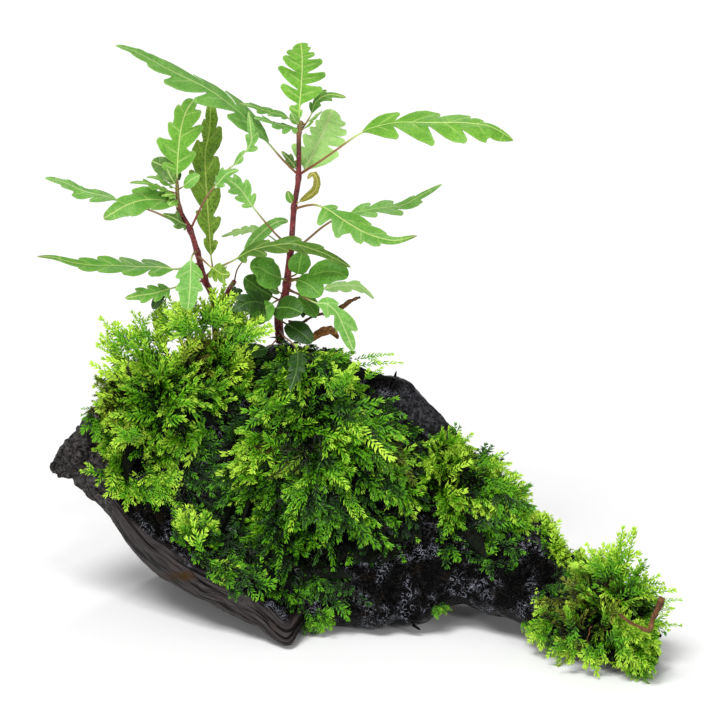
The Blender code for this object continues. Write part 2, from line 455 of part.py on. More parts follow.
def moss_clump(name, grid, normals, rng):
    """A ragged mound that follows the wood below it and reaches the tips of the longest shoots."""
    patches, height, lean, ragged, reaches = MOSS[name]
    cells = moss_cells(patches)
    fine_cells = {(2 * i + a, 2 * j + b) for i, j in cells for a in (0, 1) for b in (0, 1)}
    steps = steps_from_edge(fine_cells)
    lean = Vector(lean)
    top = {}
    for corner in sorted(steps):
        base = halfway(grid, *corner)
        normal = halfway(normals, *corner).normalized()
        share = MOSS_RISE[min(steps[corner], len(MOSS_RISE) - 1)]
        tuft = 1 - ragged + 2 * ragged * rng.random()
        growth = (normal * GROWTH_OFF_WOOD + lean * share).normalized()
        top[corner] = base + normal * (GAP + MOSS_FOOT) * MM + growth * height * share * tuft * MM
    inside = {corner for corner in steps if steps[corner] > 1}
    for side, rise, depth in reaches:
        target = seen(side, rise, depth)
        nearest = min(sorted(inside), key=lambda corner: (top[corner] - target).length)
        top[nearest] = target
        inside.discard(nearest)
    builder = bmesh.new()
    high = {corner: builder.verts.new(place) for corner, place in top.items()}
    low = {}
    for cell in sorted(cells):
        for triangle in corners(*cell):
            for i, j in triangle:
                if (i, j) in low:
                    continue
                underside = grid[i][j % RING] + normals[i][j % RING] * MOSS_UNDERSIDE * MM
                low[(i, j)] = builder.verts.new(underside)
            builder.faces.new([low[place] for place in triangle])
    for a, b in sorted(fine_cells):
        for triangle in corners(a, b):
            builder.faces.new([high[place] for place in triangle])
    for i, j in sorted(cells):
        around = (((i, j), (i + 1, j), (i, j - 1)), ((i, j + 1), (i + 1, j + 1), (i, j + 1)),
                  ((i, j), (i, j + 1), (i - 1, j)), ((i + 1, j), (i + 1, j + 1), (i + 1, j)))
        for start, end, neighbour in around:
            if neighbour in cells:
                continue
            middle = high[(start[0] + end[0], start[1] + end[1])]
            high_start, high_end = high[(2 * start[0], 2 * start[1])], high[(2 * end[0], 2 * end[1])]
            builder.faces.new((low[start], low[end], middle))
            builder.faces.new((low[start], middle, high_start))
            builder.faces.new((low[end], high_end, middle))
    return make_object(name, builder, MOSS_COLOURS.get(name, MOSS_COLOUR), MOSS_ROUGHNESS, smooth=False)


def ring_of(builder, centre, across, upward, sides):
    """A ring of corners round a centre, in the plane of two directions."""
    ring = []
    for k in range(sides):
        angle = 2 * math.pi * k / sides
        ring.append(builder.verts.new(centre + across * math.cos(angle) + upward * math.sin(angle)))
    return ring


def join_rings(builder, rings):
    """Skins a row of rings and closes both ends."""
    for near, far in zip(rings, rings[1:]):
        for k in range(len(near)):
            m = (k + 1) % len(near)
            builder.faces.new((near[k], near[m], far[m], far[k]))
    builder.faces.new(rings[0])
    builder.faces.new(list(reversed(rings[-1])))


def rough_tube(name, centres, radii, sides, colour, level_start=False):
    """A round stem or twig along a row of centres."""
    builder = bmesh.new()
    rings = []
    for k, centre in enumerate(centres):
        along = (centres[min(k + 1, len(centres) - 1)] - centres[max(k - 1, 0)]).normalized()
        if level_start and k == 0:
            along = Vector((0, 0, 1))
        across = along.cross(Vector((0, 1, 0))).normalized()
        upward = across.cross(along)
        rings.append(ring_of(builder, centre, across * radii[k], upward * radii[k], sides))
    join_rings(builder, rings)
    return make_object(name, builder, colour, PLANT_ROUGHNESS)


def surface_of(piece):
    mesh = piece.data
    return BVHTree.FromPolygons([v.co for v in mesh.vertices], [p.vertices for p in mesh.polygons])


def ground_below(trees, place, radius):
    """Height of the wood's surface under a round foot, with the gap added."""
    highest = 0.0
    for k in range(STEM_SIDES):
        angle = 2 * math.pi * k / STEM_SIDES
        start = place + Vector((math.cos(angle), math.sin(angle), 0)) * radius * MM
        for tree in trees:
            hit = tree.ray_cast(start + ABOVE, Vector((0, 0, -1)))[0]
            if hit:
                highest = max(highest, hit.z)
    return highest + GAP * MM


def stem(key, trees):
    """A stem from the crest up, thicker at its nodes."""
    rows = STEMS[key]
    points = [seen(*row[:3]) for row in rows]
    foot = points[0].copy()
    foot.z = ground_below(trees, foot, rows[0][3])
    points[0] = foot
    count = 2 * (len(points) - 1)
    centres, radii = [], []
    for k in range(count + 1):
        t = k / count
        centres.append(curve_through(points, t))
        i = min(int(t * (len(rows) - 1)), len(rows) - 2)
        f = t * (len(rows) - 1) - i
        rise = rows[i][1] * (1 - f) + rows[i + 1][1] * f
        at_node = min(abs(rise - node) for node in STEM_NODES[key])
        swelling = NODE_SWELLING if at_node < NODE_REACH and 0 < k < count else 1.0
        radii.append((rows[i][3] * (1 - f) + rows[i + 1][3] * f) * swelling * MM)
    rough_tube("stem_" + key, centres, radii, STEM_SIDES, STEM_COLOUR, level_start=True)
    return centres, radii


def leave_stem(points, axis, radii):
    """Where a stalk comes clear of its stem, as a share of the whole middle line."""
    steps = 400
    for k in range(steps):
        place = curve_through(points, k / steps)
        clear = all(
            (place - centre).length > radius + (PETIOLE_RADIUS + GAP) * MM
            for centre, radius in finely(axis, radii)
        )
        if clear:
            return k / steps
    return 0.0


def finely(axis, radii):
    """Extra places along a stem's axis, each with its radius."""
    parts = 4
    for k in range(len(axis) - 1):
        for step in range(parts):
            f = step / parts
            yield axis[k].lerp(axis[k + 1], f), radii[k] * (1 - f) + radii[k + 1] * f
    yield axis[-1], radii[-1]


def blade_stations(lobes):
    """Places along a blade as (share of length, share of width, whether in a notch)."""
    if not lobes:
        return [(share, math.sin(math.pi * share**0.85) ** 0.75, False) for share in ROUND_BLADE]
    step = (LAST_NOTCH - FIRST_NOTCH) / lobes
    stations = []
    for k in range(lobes):
        for offset, notch, wide in LOBE_CORNERS:
            share = FIRST_NOTCH + step * (k + offset)
            envelope = math.sin(math.pi * (0.12 + 0.84 * share) ** 0.8) ** 0.7
            stations.append((share, envelope * wide, notch))
    stations.append(BLADE_TIP)
    return stations


def leaf(name, axes):
    """One leaf: a stalk that widens into a thin blade with notched edges."""
    stem_name, colour, rows, stalk, half_width, lobes, cut, face = LEAVES[name]
    points = [seen(*row) for row in rows]
    start = leave_stem(points, *axes[stem_name])
    blade_start = stalk / (len(points) - 1)
    face = Vector(face).normalized()
    sections = []
    stalk_steps = max(2, stalk)
    for k in range(stalk_steps):
        t = start + (blade_start - start) * k / stalk_steps
        sections.append((t, PETIOLE_RADIUS, PETIOLE_RADIUS, 0.0))
    for share, width, notch in blade_stations(lobes):
        t = blade_start + (1 - blade_start) * share
        wide = half_width * width * (1 - cut if notch else 1.0)
        forward = 0.0 if notch or not lobes else LOBE_FORWARD * half_width
        sections.append((t, max(wide, NARROWEST_BLADE), BLADE_HALF_THICKNESS, forward))
    builder = bmesh.new()
    rings = []
    for t, wide, thick, forward in sections:
        centre = curve_through(points, t)
        ahead_of, behind = curve_through(points, min(t + 0.01, 1)), curve_through(points, max(t - 0.01, 0))
        along = (ahead_of - behind).normalized()
        upward = (face - along * face.dot(along)).normalized()
        across = along.cross(upward)
        ahead = along * forward * MM
        rings.append([
            builder.verts.new(centre + across * wide * MM + ahead),
            builder.verts.new(centre + upward * thick * MM),
            builder.verts.new(centre - across * wide * MM + ahead),
            builder.verts.new(centre - upward * thick * MM),
        ])
    for near, far in zip(rings, rings[1:]):
        for k in range(4):
            m = (k + 1) % 4
            builder.faces.new((near[k], near[m], far[m], far[k]))
    builder.faces.new(rings[0])
    tip = builder.verts.new(points[-1])
    for k in range(4):
        builder.faces.new((rings[-1][k], rings[-1][(k + 1) % 4], tip))
    return make_object(name, builder, LEAF_COLOURS[colour], PLANT_ROUGHNESS, smooth=False)


def dry_piece(name):
    """A withered strip, flat and pointed."""
    rows, half_width, colour = DRY_PIECES[name]
    points = [seen(*row) for row in rows]
    count = 2 * (len(points) - 1)
    centres = [curve_through(points, k / count) for k in range(count + 1)]
    radii = [half_width * MM * (0.45 + 0.55 * math.sin(math.pi * k / count)) for k in range(count + 1)]
    return rough_tube(name, centres, radii, DRY_SIDES, LEAF_COLOURS[colour])


def main():
    clear_scene()
    grid = [wood_outline(x) for x in WOOD_X]
    body_first = len(KNOB_X)
    arm_first = body_first + len(BODY_X)
    wood = [
        wood_piece("driftwood_left_knob", grid, 0, body_first - 1),
        wood_piece("driftwood_body", grid, body_first, arm_first - 1),
        wood_piece("driftwood_arm", grid, arm_first, len(WOOD_X) - 1),
    ]
    trees = [surface_of(piece) for piece in wood]
    normals = grid_normals(grid)
    rng = random.Random(SEED)
    for name in MOSS:
        moss_clump(name, grid, normals, rng)
    axes = {key: stem(key, trees) for key in STEMS}
    for name in LEAVES:
        leaf(name, axes)
    for name in DRY_PIECES:
        dry_piece(name)
    twig = [seen(*row) for row in BROWN_TWIG]
    rough_tube("brown_twig", twig, [TWIG_RADIUS * MM] * len(twig), TWIG_SIDES, LEAF_COLOURS["dead"])


main()
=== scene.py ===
"""Hygrophila on driftwood: leaves, stems, moss and the wood's surface around the part's fixed solids."""

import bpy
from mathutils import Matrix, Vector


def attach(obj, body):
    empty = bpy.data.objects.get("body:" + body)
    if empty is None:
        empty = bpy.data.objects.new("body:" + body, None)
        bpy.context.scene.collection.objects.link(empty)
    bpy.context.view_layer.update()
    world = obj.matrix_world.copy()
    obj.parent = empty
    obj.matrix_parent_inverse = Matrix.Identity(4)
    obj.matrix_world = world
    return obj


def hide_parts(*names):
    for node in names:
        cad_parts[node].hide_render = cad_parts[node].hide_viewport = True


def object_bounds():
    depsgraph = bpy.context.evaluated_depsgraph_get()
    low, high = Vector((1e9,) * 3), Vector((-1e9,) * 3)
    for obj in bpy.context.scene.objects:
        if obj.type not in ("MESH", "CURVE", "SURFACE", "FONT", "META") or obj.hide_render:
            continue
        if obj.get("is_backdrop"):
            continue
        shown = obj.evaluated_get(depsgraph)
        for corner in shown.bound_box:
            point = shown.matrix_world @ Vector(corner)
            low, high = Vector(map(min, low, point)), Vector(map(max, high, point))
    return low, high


bl_info = {
    "name": "Hygrophila on Driftwood",
    "version": (1, 0, 0),
    "blender": (4, 5, 0),
    "location": "3D View > Sidebar > Plant",
    "description": "Builds the leaves, stems, moss and wet wood of a water plant on driftwood",
    "category": "Add Mesh",
}

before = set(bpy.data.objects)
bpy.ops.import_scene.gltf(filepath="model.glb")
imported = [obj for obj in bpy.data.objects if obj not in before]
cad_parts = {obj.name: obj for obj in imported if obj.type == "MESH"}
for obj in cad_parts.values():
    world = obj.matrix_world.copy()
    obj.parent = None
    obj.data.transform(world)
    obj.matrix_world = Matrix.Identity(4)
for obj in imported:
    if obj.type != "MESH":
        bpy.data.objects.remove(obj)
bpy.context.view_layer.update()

import math
import random

import bmesh
import bpy
import numpy as np
from bpy.props import FloatProperty, FloatVectorProperty, IntProperty, PointerProperty
from mathutils import Vector, noise
from mathutils.bvhtree import BVHTree

MM = 0.001
WELD = 0.01 * MM  # corners nearer than this are the same corner
TINY = 1e-12  # keeps a division from failing

# How places are given: side to the right, rise up in the picture and depth away from the viewer, in
# millimetres, for a viewer 20 degrees above level.
VIEW_TILT = math.radians(20)
RISE_OF_GROUND = 15.4  # rise of the ground where depth is zero
MIDDLE_DEPTH = 8.5  # depth of the middle of the plant, which is the origin
PIXEL = 0.4  # millimetres that one pixel of the picture shows
PICTURE = 720  # pixels across
SIDE_ZERO, RISE_ZERO = 359, 670  # the pixel column and row where side and rise are zero
CAMERA_AWAY = 10.0  # metres; far off, so that the view is almost parallel
EYE_DEPTH = -CAMERA_AWAY / 2 / MM  # millimetres; where the viewer's lines of sight start
SENSOR = 36.0  # width of the camera's sensor in millimetres
AIM_DEPTH = 20  # depth that the camera looks at
LOOKING = Vector((0, math.cos(VIEW_TILT), -math.sin(VIEW_TILT)))  # the way the viewer looks
PICTURE_UP = Vector((0, math.sin(VIEW_TILT), math.cos(VIEW_TILT)))


def seen(side, rise, depth):
    """A place in metres from where it is seen."""
    height = (rise - RISE_OF_GROUND - depth * math.sin(VIEW_TILT)) / math.cos(VIEW_TILT)
    return Vector((side, depth - MIDDLE_DEPTH, height)) * MM


def picture_place(place):
    """Side and rise, in millimetres, at which a place in metres is seen."""
    depth = place.y / MM + MIDDLE_DEPTH
    rise = place.z / MM * math.cos(VIEW_TILT) + RISE_OF_GROUND + depth * math.sin(VIEW_TILT)
    return place.x / MM, rise


def unit(vector):
    """A numpy vector, or each row of an array of them, at length one."""
    return vector / np.maximum(np.linalg.norm(vector, axis=-1, keepdims=True), TINY)


def smooth_step(low, high, value):
    share = np.clip((value - low) / (high - low), 0, 1)
    return share * share * (3 - 2 * share)


def curve_through(points, t):
    """Point at t, from 0 to 1, on a smooth curve through all the points, which are an array."""
    spans = len(points) - 1
    i = min(int(t * spans), spans - 1)
    f = t * spans - i
    a, b, c, d = (points[max(0, min(spans, i + k))] for k in (-1, 0, 1, 2))
    return (2 * b + (c - a) * f + (2 * a - 5 * b + 4 * c - d) * f**2 + (3 * b - a - 3 * c + d) * f**3) * 0.5


# Selecting, shaping and finishing pieces


def only(*pieces):
    """Leaves just these pieces selected, with the first one active."""
    if bpy.context.mode != "OBJECT":
        bpy.ops.object.mode_set(mode="OBJECT")
    bpy.ops.object.select_all(action="DESELECT")
    for piece in pieces:
        piece.select_set(True)
    bpy.context.view_layer.objects.active = pieces[0]


def new_piece(name, mesh):
    piece = bpy.data.objects.new(name, mesh)
    bpy.context.scene.collection.objects.link(piece)
    return piece


def joined(name, pieces):
    """All the pieces in one mesh."""
    only(*pieces)
    if len(pieces) > 1:
        bpy.ops.object.join()
    piece = bpy.context.active_object
    piece.name = name
    piece.data.name = name
    return piece


def with_modifier(piece, kind, **settings):
    """Adds a modifier and applies it."""
    only(piece)
    bpy.ops.object.modifier_add(type=kind)
    modifier = piece.modifiers[-1]
    for key, value in settings.items():
        setattr(modifier, key, value)
    bpy.ops.object.modifier_apply(modifier=modifier.name)
    return piece


def weld(piece, cuts=0):
    """Merges the loose triangles of a copied solid and may cut them finer."""
    only(piece)
    bpy.ops.object.mode_set(mode="EDIT")
    bpy.ops.mesh.select_all(action="SELECT")
    bpy.ops.mesh.remove_doubles(threshold=WELD)
    bpy.ops.mesh.customdata_custom_splitnormals_clear()
    if cuts:
        bpy.ops.mesh.subdivide(number_cuts=cuts)
    bpy.ops.mesh.select_all(action="DESELECT")
    bpy.ops.object.mode_set(mode="OBJECT")
    piece.data.materials.clear()


def move_corners(mesh, places):
    """Puts a mesh's corners at new places."""
    mesh.vertices.foreach_set("co", np.array([list(place) for place in places]).ravel())


def shade(piece, angle=60):
    only(piece)
    bpy.ops.object.shade_smooth_by_angle(angle=math.radians(angle))


def settle(piece, slot, *replaced):
    """Ties a finished piece to the frame."""
    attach(piece, "root")
    if replaced:
        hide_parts(*replaced)


def tube(name, points, radii, sides=2, steps=6):
    """A round tube along a smooth curve, made from a bevelled path; points and radii in metres."""
    points = np.array([list(p) for p in points])
    count = (len(points) - 1) * steps + 1
    curve = bpy.data.curves.new(name, "CURVE")
    curve.dimensions = "3D"
    curve.bevel_depth = 1.0
    curve.bevel_resolution = sides
    curve.use_fill_caps = True
    spline = curve.splines.new("POLY")
    spline.points.add(count - 1)
    places = np.linspace(0, 1, count)
    widths = np.interp(places, np.linspace(0, 1, len(radii)), radii)
    for k, t in enumerate(places):
        spline.points[k].co = (*curve_through(points, t), 1)
        spline.points[k].radius = widths[k]
    piece = new_piece(name, curve)
    only(piece)
    bpy.ops.object.convert(target="MESH")
    piece = bpy.context.active_object
    corners = len(piece.data.vertices)
    ring = np.minimum(np.arange(corners) // (corners // count), count - 1)
    point_values(piece.data, "along", ring / (count - 1))
    return piece


def point_values(mesh, name, values):
    """Stores one number for each vertex, which a material can read."""
    layer = mesh.attributes.get(name) or mesh.attributes.new(name, "FLOAT", "POINT")
    layer.data.foreach_set("value", np.asarray(values, np.float32))


def vertex_places(mesh):
    places = np.empty(len(mesh.vertices) * 3)
    mesh.vertices.foreach_get("co", places)
    return places.reshape(-1, 3)


# Materials


class Wire:
    """One output of a material's node, which can be used in sums."""

    def __init__(self, paint, socket):
        self.paint = paint
        self.socket = socket

    def __add__(self, other):
        return self.paint.maths("ADD", self, other)

    def __sub__(self, other):
        return self.paint.maths("SUBTRACT", self, other)

    def __rsub__(self, other):
        return self.paint.maths("SUBTRACT", other, self)

    def __mul__(self, other):
        return self.paint.maths("MULTIPLY", self, other)

    def __abs__(self):
        return self.paint.maths("ABSOLUTE", self)

    __radd__ = __add__
    __rmul__ = __mul__


class Paint:
    """A material that is being mixed from nodes."""

    def __init__(self, name):
        self.material = bpy.data.materials.new(name)
        self.material.use_nodes = True
        self.tree = self.material.node_tree
        self.tree.nodes.clear()

    def node(self, kind, settings=None, sockets=None, output=0):
        """Adds a node: its settings first, then the values or links of its sockets."""
        node = self.tree.nodes.new(kind)
        for key, value in (settings or {}).items():
            setattr(node, key, value)
        for key, value in (sockets or {}).items():
            if isinstance(value, Wire):
                self.tree.links.new(value.socket, node.inputs[key])
            else:
                node.inputs[key].default_value = value
        return Wire(self, node.outputs[output]) if node.outputs else None

    def maths(self, operation, *values):
        return self.node("ShaderNodeMath", {"operation": operation}, dict(enumerate(values)))

    def mask(self, value, low, high):
        """0 up to low, 1 from high, and smooth between them."""
        sockets = {"Value": value, "From Min": low, "From Max": high}
        return self.node("ShaderNodeMapRange", {"interpolation_type": "SMOOTHSTEP"}, sockets)

    def colours(self, share, first, second):
        """A blend of two colours."""
        first, second = (c if isinstance(c, Wire) else (*c, 1) for c in (first, second))
        settings = {"data_type": "RGBA", "clamp_factor": True}
        return self.node("ShaderNodeMix", settings, {0: share, 6: first, 7: second}, output=2)

    def object_place(self):
        return self.node("ShaderNodeTexCoord", output="Object")

    def stored(self, name, output="Fac"):
        return self.node("ShaderNodeAttribute", {"attribute_name": name}, output=output)

    def split(self, vector):
        """The first two numbers of a vector."""
        node = self.tree.nodes.new("ShaderNodeSeparateXYZ")
        self.tree.links.new(vector.socket, node.inputs[0])
        return Wire(self, node.outputs[0]), Wire(self, node.outputs[1])

    def stretched(self, vector, scale):
        """Coordinates times a size along each axis."""
        return self.node("ShaderNodeVectorMath", {"operation": "MULTIPLY"}, {0: vector, 1: scale})

    def grain(self, vector, scale, detail=3.0, roughness=0.55, warp=0.0):
        """Soft noise from 0 to 1."""
        sockets = {"Vector": vector, "Scale": scale, "Detail": detail, "Roughness": roughness, "Distortion": warp}
        return self.node("ShaderNodeTexNoise", sockets=sockets)

    def cells(self, vector, scale, feature="F1"):
        """Distance to the nearest of many scattered points."""
        return self.node("ShaderNodeTexVoronoi", {"feature": feature}, {"Vector": vector, "Scale": scale})

    def raised(self, height, distance, strength=1.0, under=None):
        """A bump from a height between 0 and 1 that stands the distance proud, in metres."""
        sockets = {"Height": height, "Distance": distance, "Strength": strength}
        if under is not None:
            sockets["Normal"] = under
        return self.node("ShaderNodeBump", sockets=sockets)

    def finish(self, colour, roughness, normal=None, **plain):
        """The surface itself; plain holds numbers for sockets that are the same all over."""
        sockets = {"Base Color": colour if isinstance(colour, Wire) else (*colour, 1), "Roughness": roughness}
        if normal is not None:
            sockets["Normal"] = normal
        sockets.update({key.replace("_", " "): value for key, value in plain.items()})
        surface = self.node("ShaderNodeBsdfPrincipled", sockets=sockets)
        self.node("ShaderNodeOutputMaterial", sockets={"Surface": surface})
        return self.material


# Wood

WOOD_NODES = ("driftwood_left_knob", "driftwood_body", "driftwood_arm")
RING = 24  # corners in each outline of the wood
SEAM = 22  # the corner on the hidden sole where the flow round the outline starts
FLOW_LENGTH = 0.1  # metres of wood that the flow's map is long
START_X = -73.5 * MM  # an outline whose first two corners are known: the lip's low edge and its outer edge
START_CORNERS = ((14, 13.5), (-1, 24))  # as (depth, height) in millimetres
LOW_EDGE = 2  # flow round the outline at the lip's low edge
LIP_END_X = -24 * MM
KNOB_X = -101 * MM
JOINTS_X = (-101.15 * MM, 66.15 * MM)
JOINT_WELD = 1.2 * MM
RUST_MIDDLE = ((180 - SIDE_ZERO) * PIXEL, (RISE_ZERO - 576) * PIXEL)  # a rusty stain, as (side, rise)
RUST_REACH = (4.5, 1.8)
CRACKS = (  # black cracks as (points in side and rise, width, depth), in millimetres
    (((-102, 89.5), (-106, 89.8), (-108.8, 88.4), (-110, 85.2), (-112, 82), (-113.8, 78)), 1.5, 4.5),
    (((-106, 89.8), (-107.4, 93.5), (-109.5, 96.5)), 1.3, 4),
    (((-88, 86), (-84, 78), (-81, 70)), 0.5, 1.5),
    (((-76, 62), (-72, 50), (-64, 41), (-52, 33)), 0.6, 1.3),
    (((-84, 70), (-80, 58), (-75, 48), (-66, 37), (-54, 29)), 0.6, 1.4),
)
SPLINTERS = (  # thin splinters: where they leave the wood and where they go, in side and rise, and their radii
    (((10, 29), (17, 22), (21, 18.4), (24.5, 16)), (1.6, 1.2, 0.8, 0.3)),
    (((14, 26), (20, 21.5), (24, 20.4)), (1.0, 0.7, 0.3)),
    (((13.6, 113), (14.2, 116.5), (15, 119.6)), (1.6, 0.8, 0.15)),
)


def at_joint(x):
    """Whether a place lies where two of the wood's solids meet."""
    return any(abs(x - joint) < 0.5 * MM for joint in JOINTS_X)


def corner_places(mesh_builder):
    """For each corner of the wood: which outline it is on, and which of that outline's corners it is."""
    levels = sorted({round(v.co.x / MM) for v in mesh_builder.verts})
    stations = []
    for x in levels:
        if not stations or x - stations[-1][-1] > 1:
            stations.append([])
        stations[-1].append(x)
    middles = [sum(group) / len(group) for group in stations]
    station_of = {
        v: min(range(len(middles)), key=lambda i: abs(middles[i] - v.co.x / MM)) for v in mesh_builder.verts
    }
    first, second = (
        min(mesh_builder.verts, key=lambda v: (v.co - Vector((START_X, (d - MIDDLE_DEPTH) * MM, h * MM))).length)
        for d, h in START_CORNERS
    )
    start = station_of[first]
    corner_of = {first: 0, second: 1}
    last, here = first, second
    for corner in range(2, RING):
        around = [e.other_vert(here) for e in here.link_edges]
        last, here = here, next(v for v in around if station_of[v] == start and v is not last)
        corner_of[here] = corner
    for step in (1, -1):
        station = start + step
        while 0 <= station < len(middles):
            for v in (v for v in mesh_builder.verts if station_of[v] == station):
                near = [e.other_vert(v) for e in v.link_edges]
                known = sorted(corner_of[n] for n in near if station_of[n] == station - step)
                if known == [0, RING - 1]:
                    known = [RING - 1, RING]
                corner_of[v] = (known[-1] if step > 0 else known[0]) % RING
            station += step
    return station_of, corner_of


def flow_round(mesh):
    """Cuts the wood's triangles into squares and gives them a map that follows the grain round the wood."""
    builder = bmesh.new()
    builder.from_mesh(mesh)
    station_of, corner_of = corner_places(builder)
    ring_of = {v: (corner_of[v] - SEAM) % RING for v in builder.verts}
    diagonals = [
        edge for edge in builder.edges
        if all(places[edge.verts[0]] != places[edge.verts[1]] for places in (station_of, corner_of))
    ]
    bmesh.ops.dissolve_edges(builder, edges=diagonals, use_verts=False)
    layer = builder.loops.layers.uv.new("flow")
    for face in builder.faces:
        rings = [ring_of[loop.vert] for loop in face.loops]
        wraps = max(rings) - min(rings) > RING / 2
        for loop in face.loops:
            ring = ring_of[loop.vert]
            loop[layer].uv = (loop.vert.co.x / FLOW_LENGTH, (RING if wraps and ring == 0 else ring) / RING)
    builder.to_mesh(mesh)
    builder.free()


def flow_at_corners(mesh):
    """The place along the wood, in metres, and the flow round it, for each vertex."""
    flow = np.zeros((len(mesh.vertices), 2))
    uv = np.empty(len(mesh.loops) * 2)
    mesh.uv_layers["flow"].uv.foreach_get("vector", uv)
    owner = np.empty(len(mesh.loops), int)
    mesh.loops.foreach_get("vertex_index", owner)
    flow[owner] = uv.reshape(-1, 2)
    return flow[:, 0] * FLOW_LENGTH, flow[:, 1] * RING


def distance_to_line(side, rise, points):
    """How far a place in the picture lies from a line of points there."""
    nearest = math.inf
    for (ax, ay), (bx, by) in zip(points, points[1:]):
        dx, dy = bx - ax, by - ay
        share = max(0.0, min(1.0, ((side - ax) * dx + (rise - ay) * dy) / (dx * dx + dy * dy)))
        nearest = min(nearest, math.hypot(side - ax - dx * share, rise - ay - dy * share))
    return nearest


def ridged(place):
    """Noise with sharp valleys, from -1 in a valley to about 0.6."""
    return 1 - 2 * (1 - abs(noise.noise(place))) ** 4


def wood_relief(place, normal, along, ring, settings):
    """How far the wood's surface moves out at a place, in millimetres."""
    x, y, z = place / MM

    def lumps(size, flat=None, shift=0):
        return noise.noise(Vector((x / size, y / size, z / (flat or size) + shift)))

    lip = smooth_step(LOW_EDGE - 1.5, LOW_EDGE, ring) * (1 - smooth_step(4.2, 5.2, ring))
    lip *= 1 - smooth_step(LIP_END_X, LIP_END_X + 12 * MM, along)
    knob = 1 - smooth_step(KNOB_X - 4 * MM, KNOB_X + 6 * MM, along)
    inner = smooth_step(4.5, 6, ring) * (1 - smooth_step(14.5, 17, ring))
    wave = noise.noise(Vector((x / 30, ring / 3, 5)))
    move = 0.9 * lumps(11) + 0.4 * lumps(4, shift=9)
    groove = ridged(Vector((x / 38, ring * 2.1 + wave, 3))) + 0.5 * ridged(Vector((x / 26, ring * 4.7 + 2 * wave, 7)))
    move += lip * settings.groove_depth / MM * groove
    move += inner * (0.9 * lumps(6.5) + 0.5 * lumps(2.6))
    move += knob * (1.3 * noise.noise(Vector((x / 7.5, y / 6.5, z / 5))) + 0.4 * lumps(2.6, flat=2.2))
    move += knob * 1.3 * ridged(Vector((x / 9, y / 9, z / 5)))
    if normal.y < 0.2:
        side, rise = picture_place(place)
        for points, width, depth in CRACKS:
            apart = distance_to_line(side, rise, points)
            if apart < 3 * width:
                move -= depth * math.exp(-((apart / width) ** 2))
    return move


class WoodSettings(bpy.types.PropertyGroup):
    groove_depth: FloatProperty(
        name="Groove depth", description="Depth of the long grooves in the lip", default=0.0007, unit="LENGTH"
    )
    lip_colour: FloatVectorProperty(
        name="Lip colour", description="Dry grain of the front lip", size=3, subtype="COLOR",
        default=(0.036, 0.031, 0.031), min=0, max=1,
    )
    wet_colour: FloatVectorProperty(
        name="Wet colour", description="Soaked wood in the hollow", size=3, subtype="COLOR",
        default=(0.0014, 0.0012, 0.0012), min=0, max=1,
    )


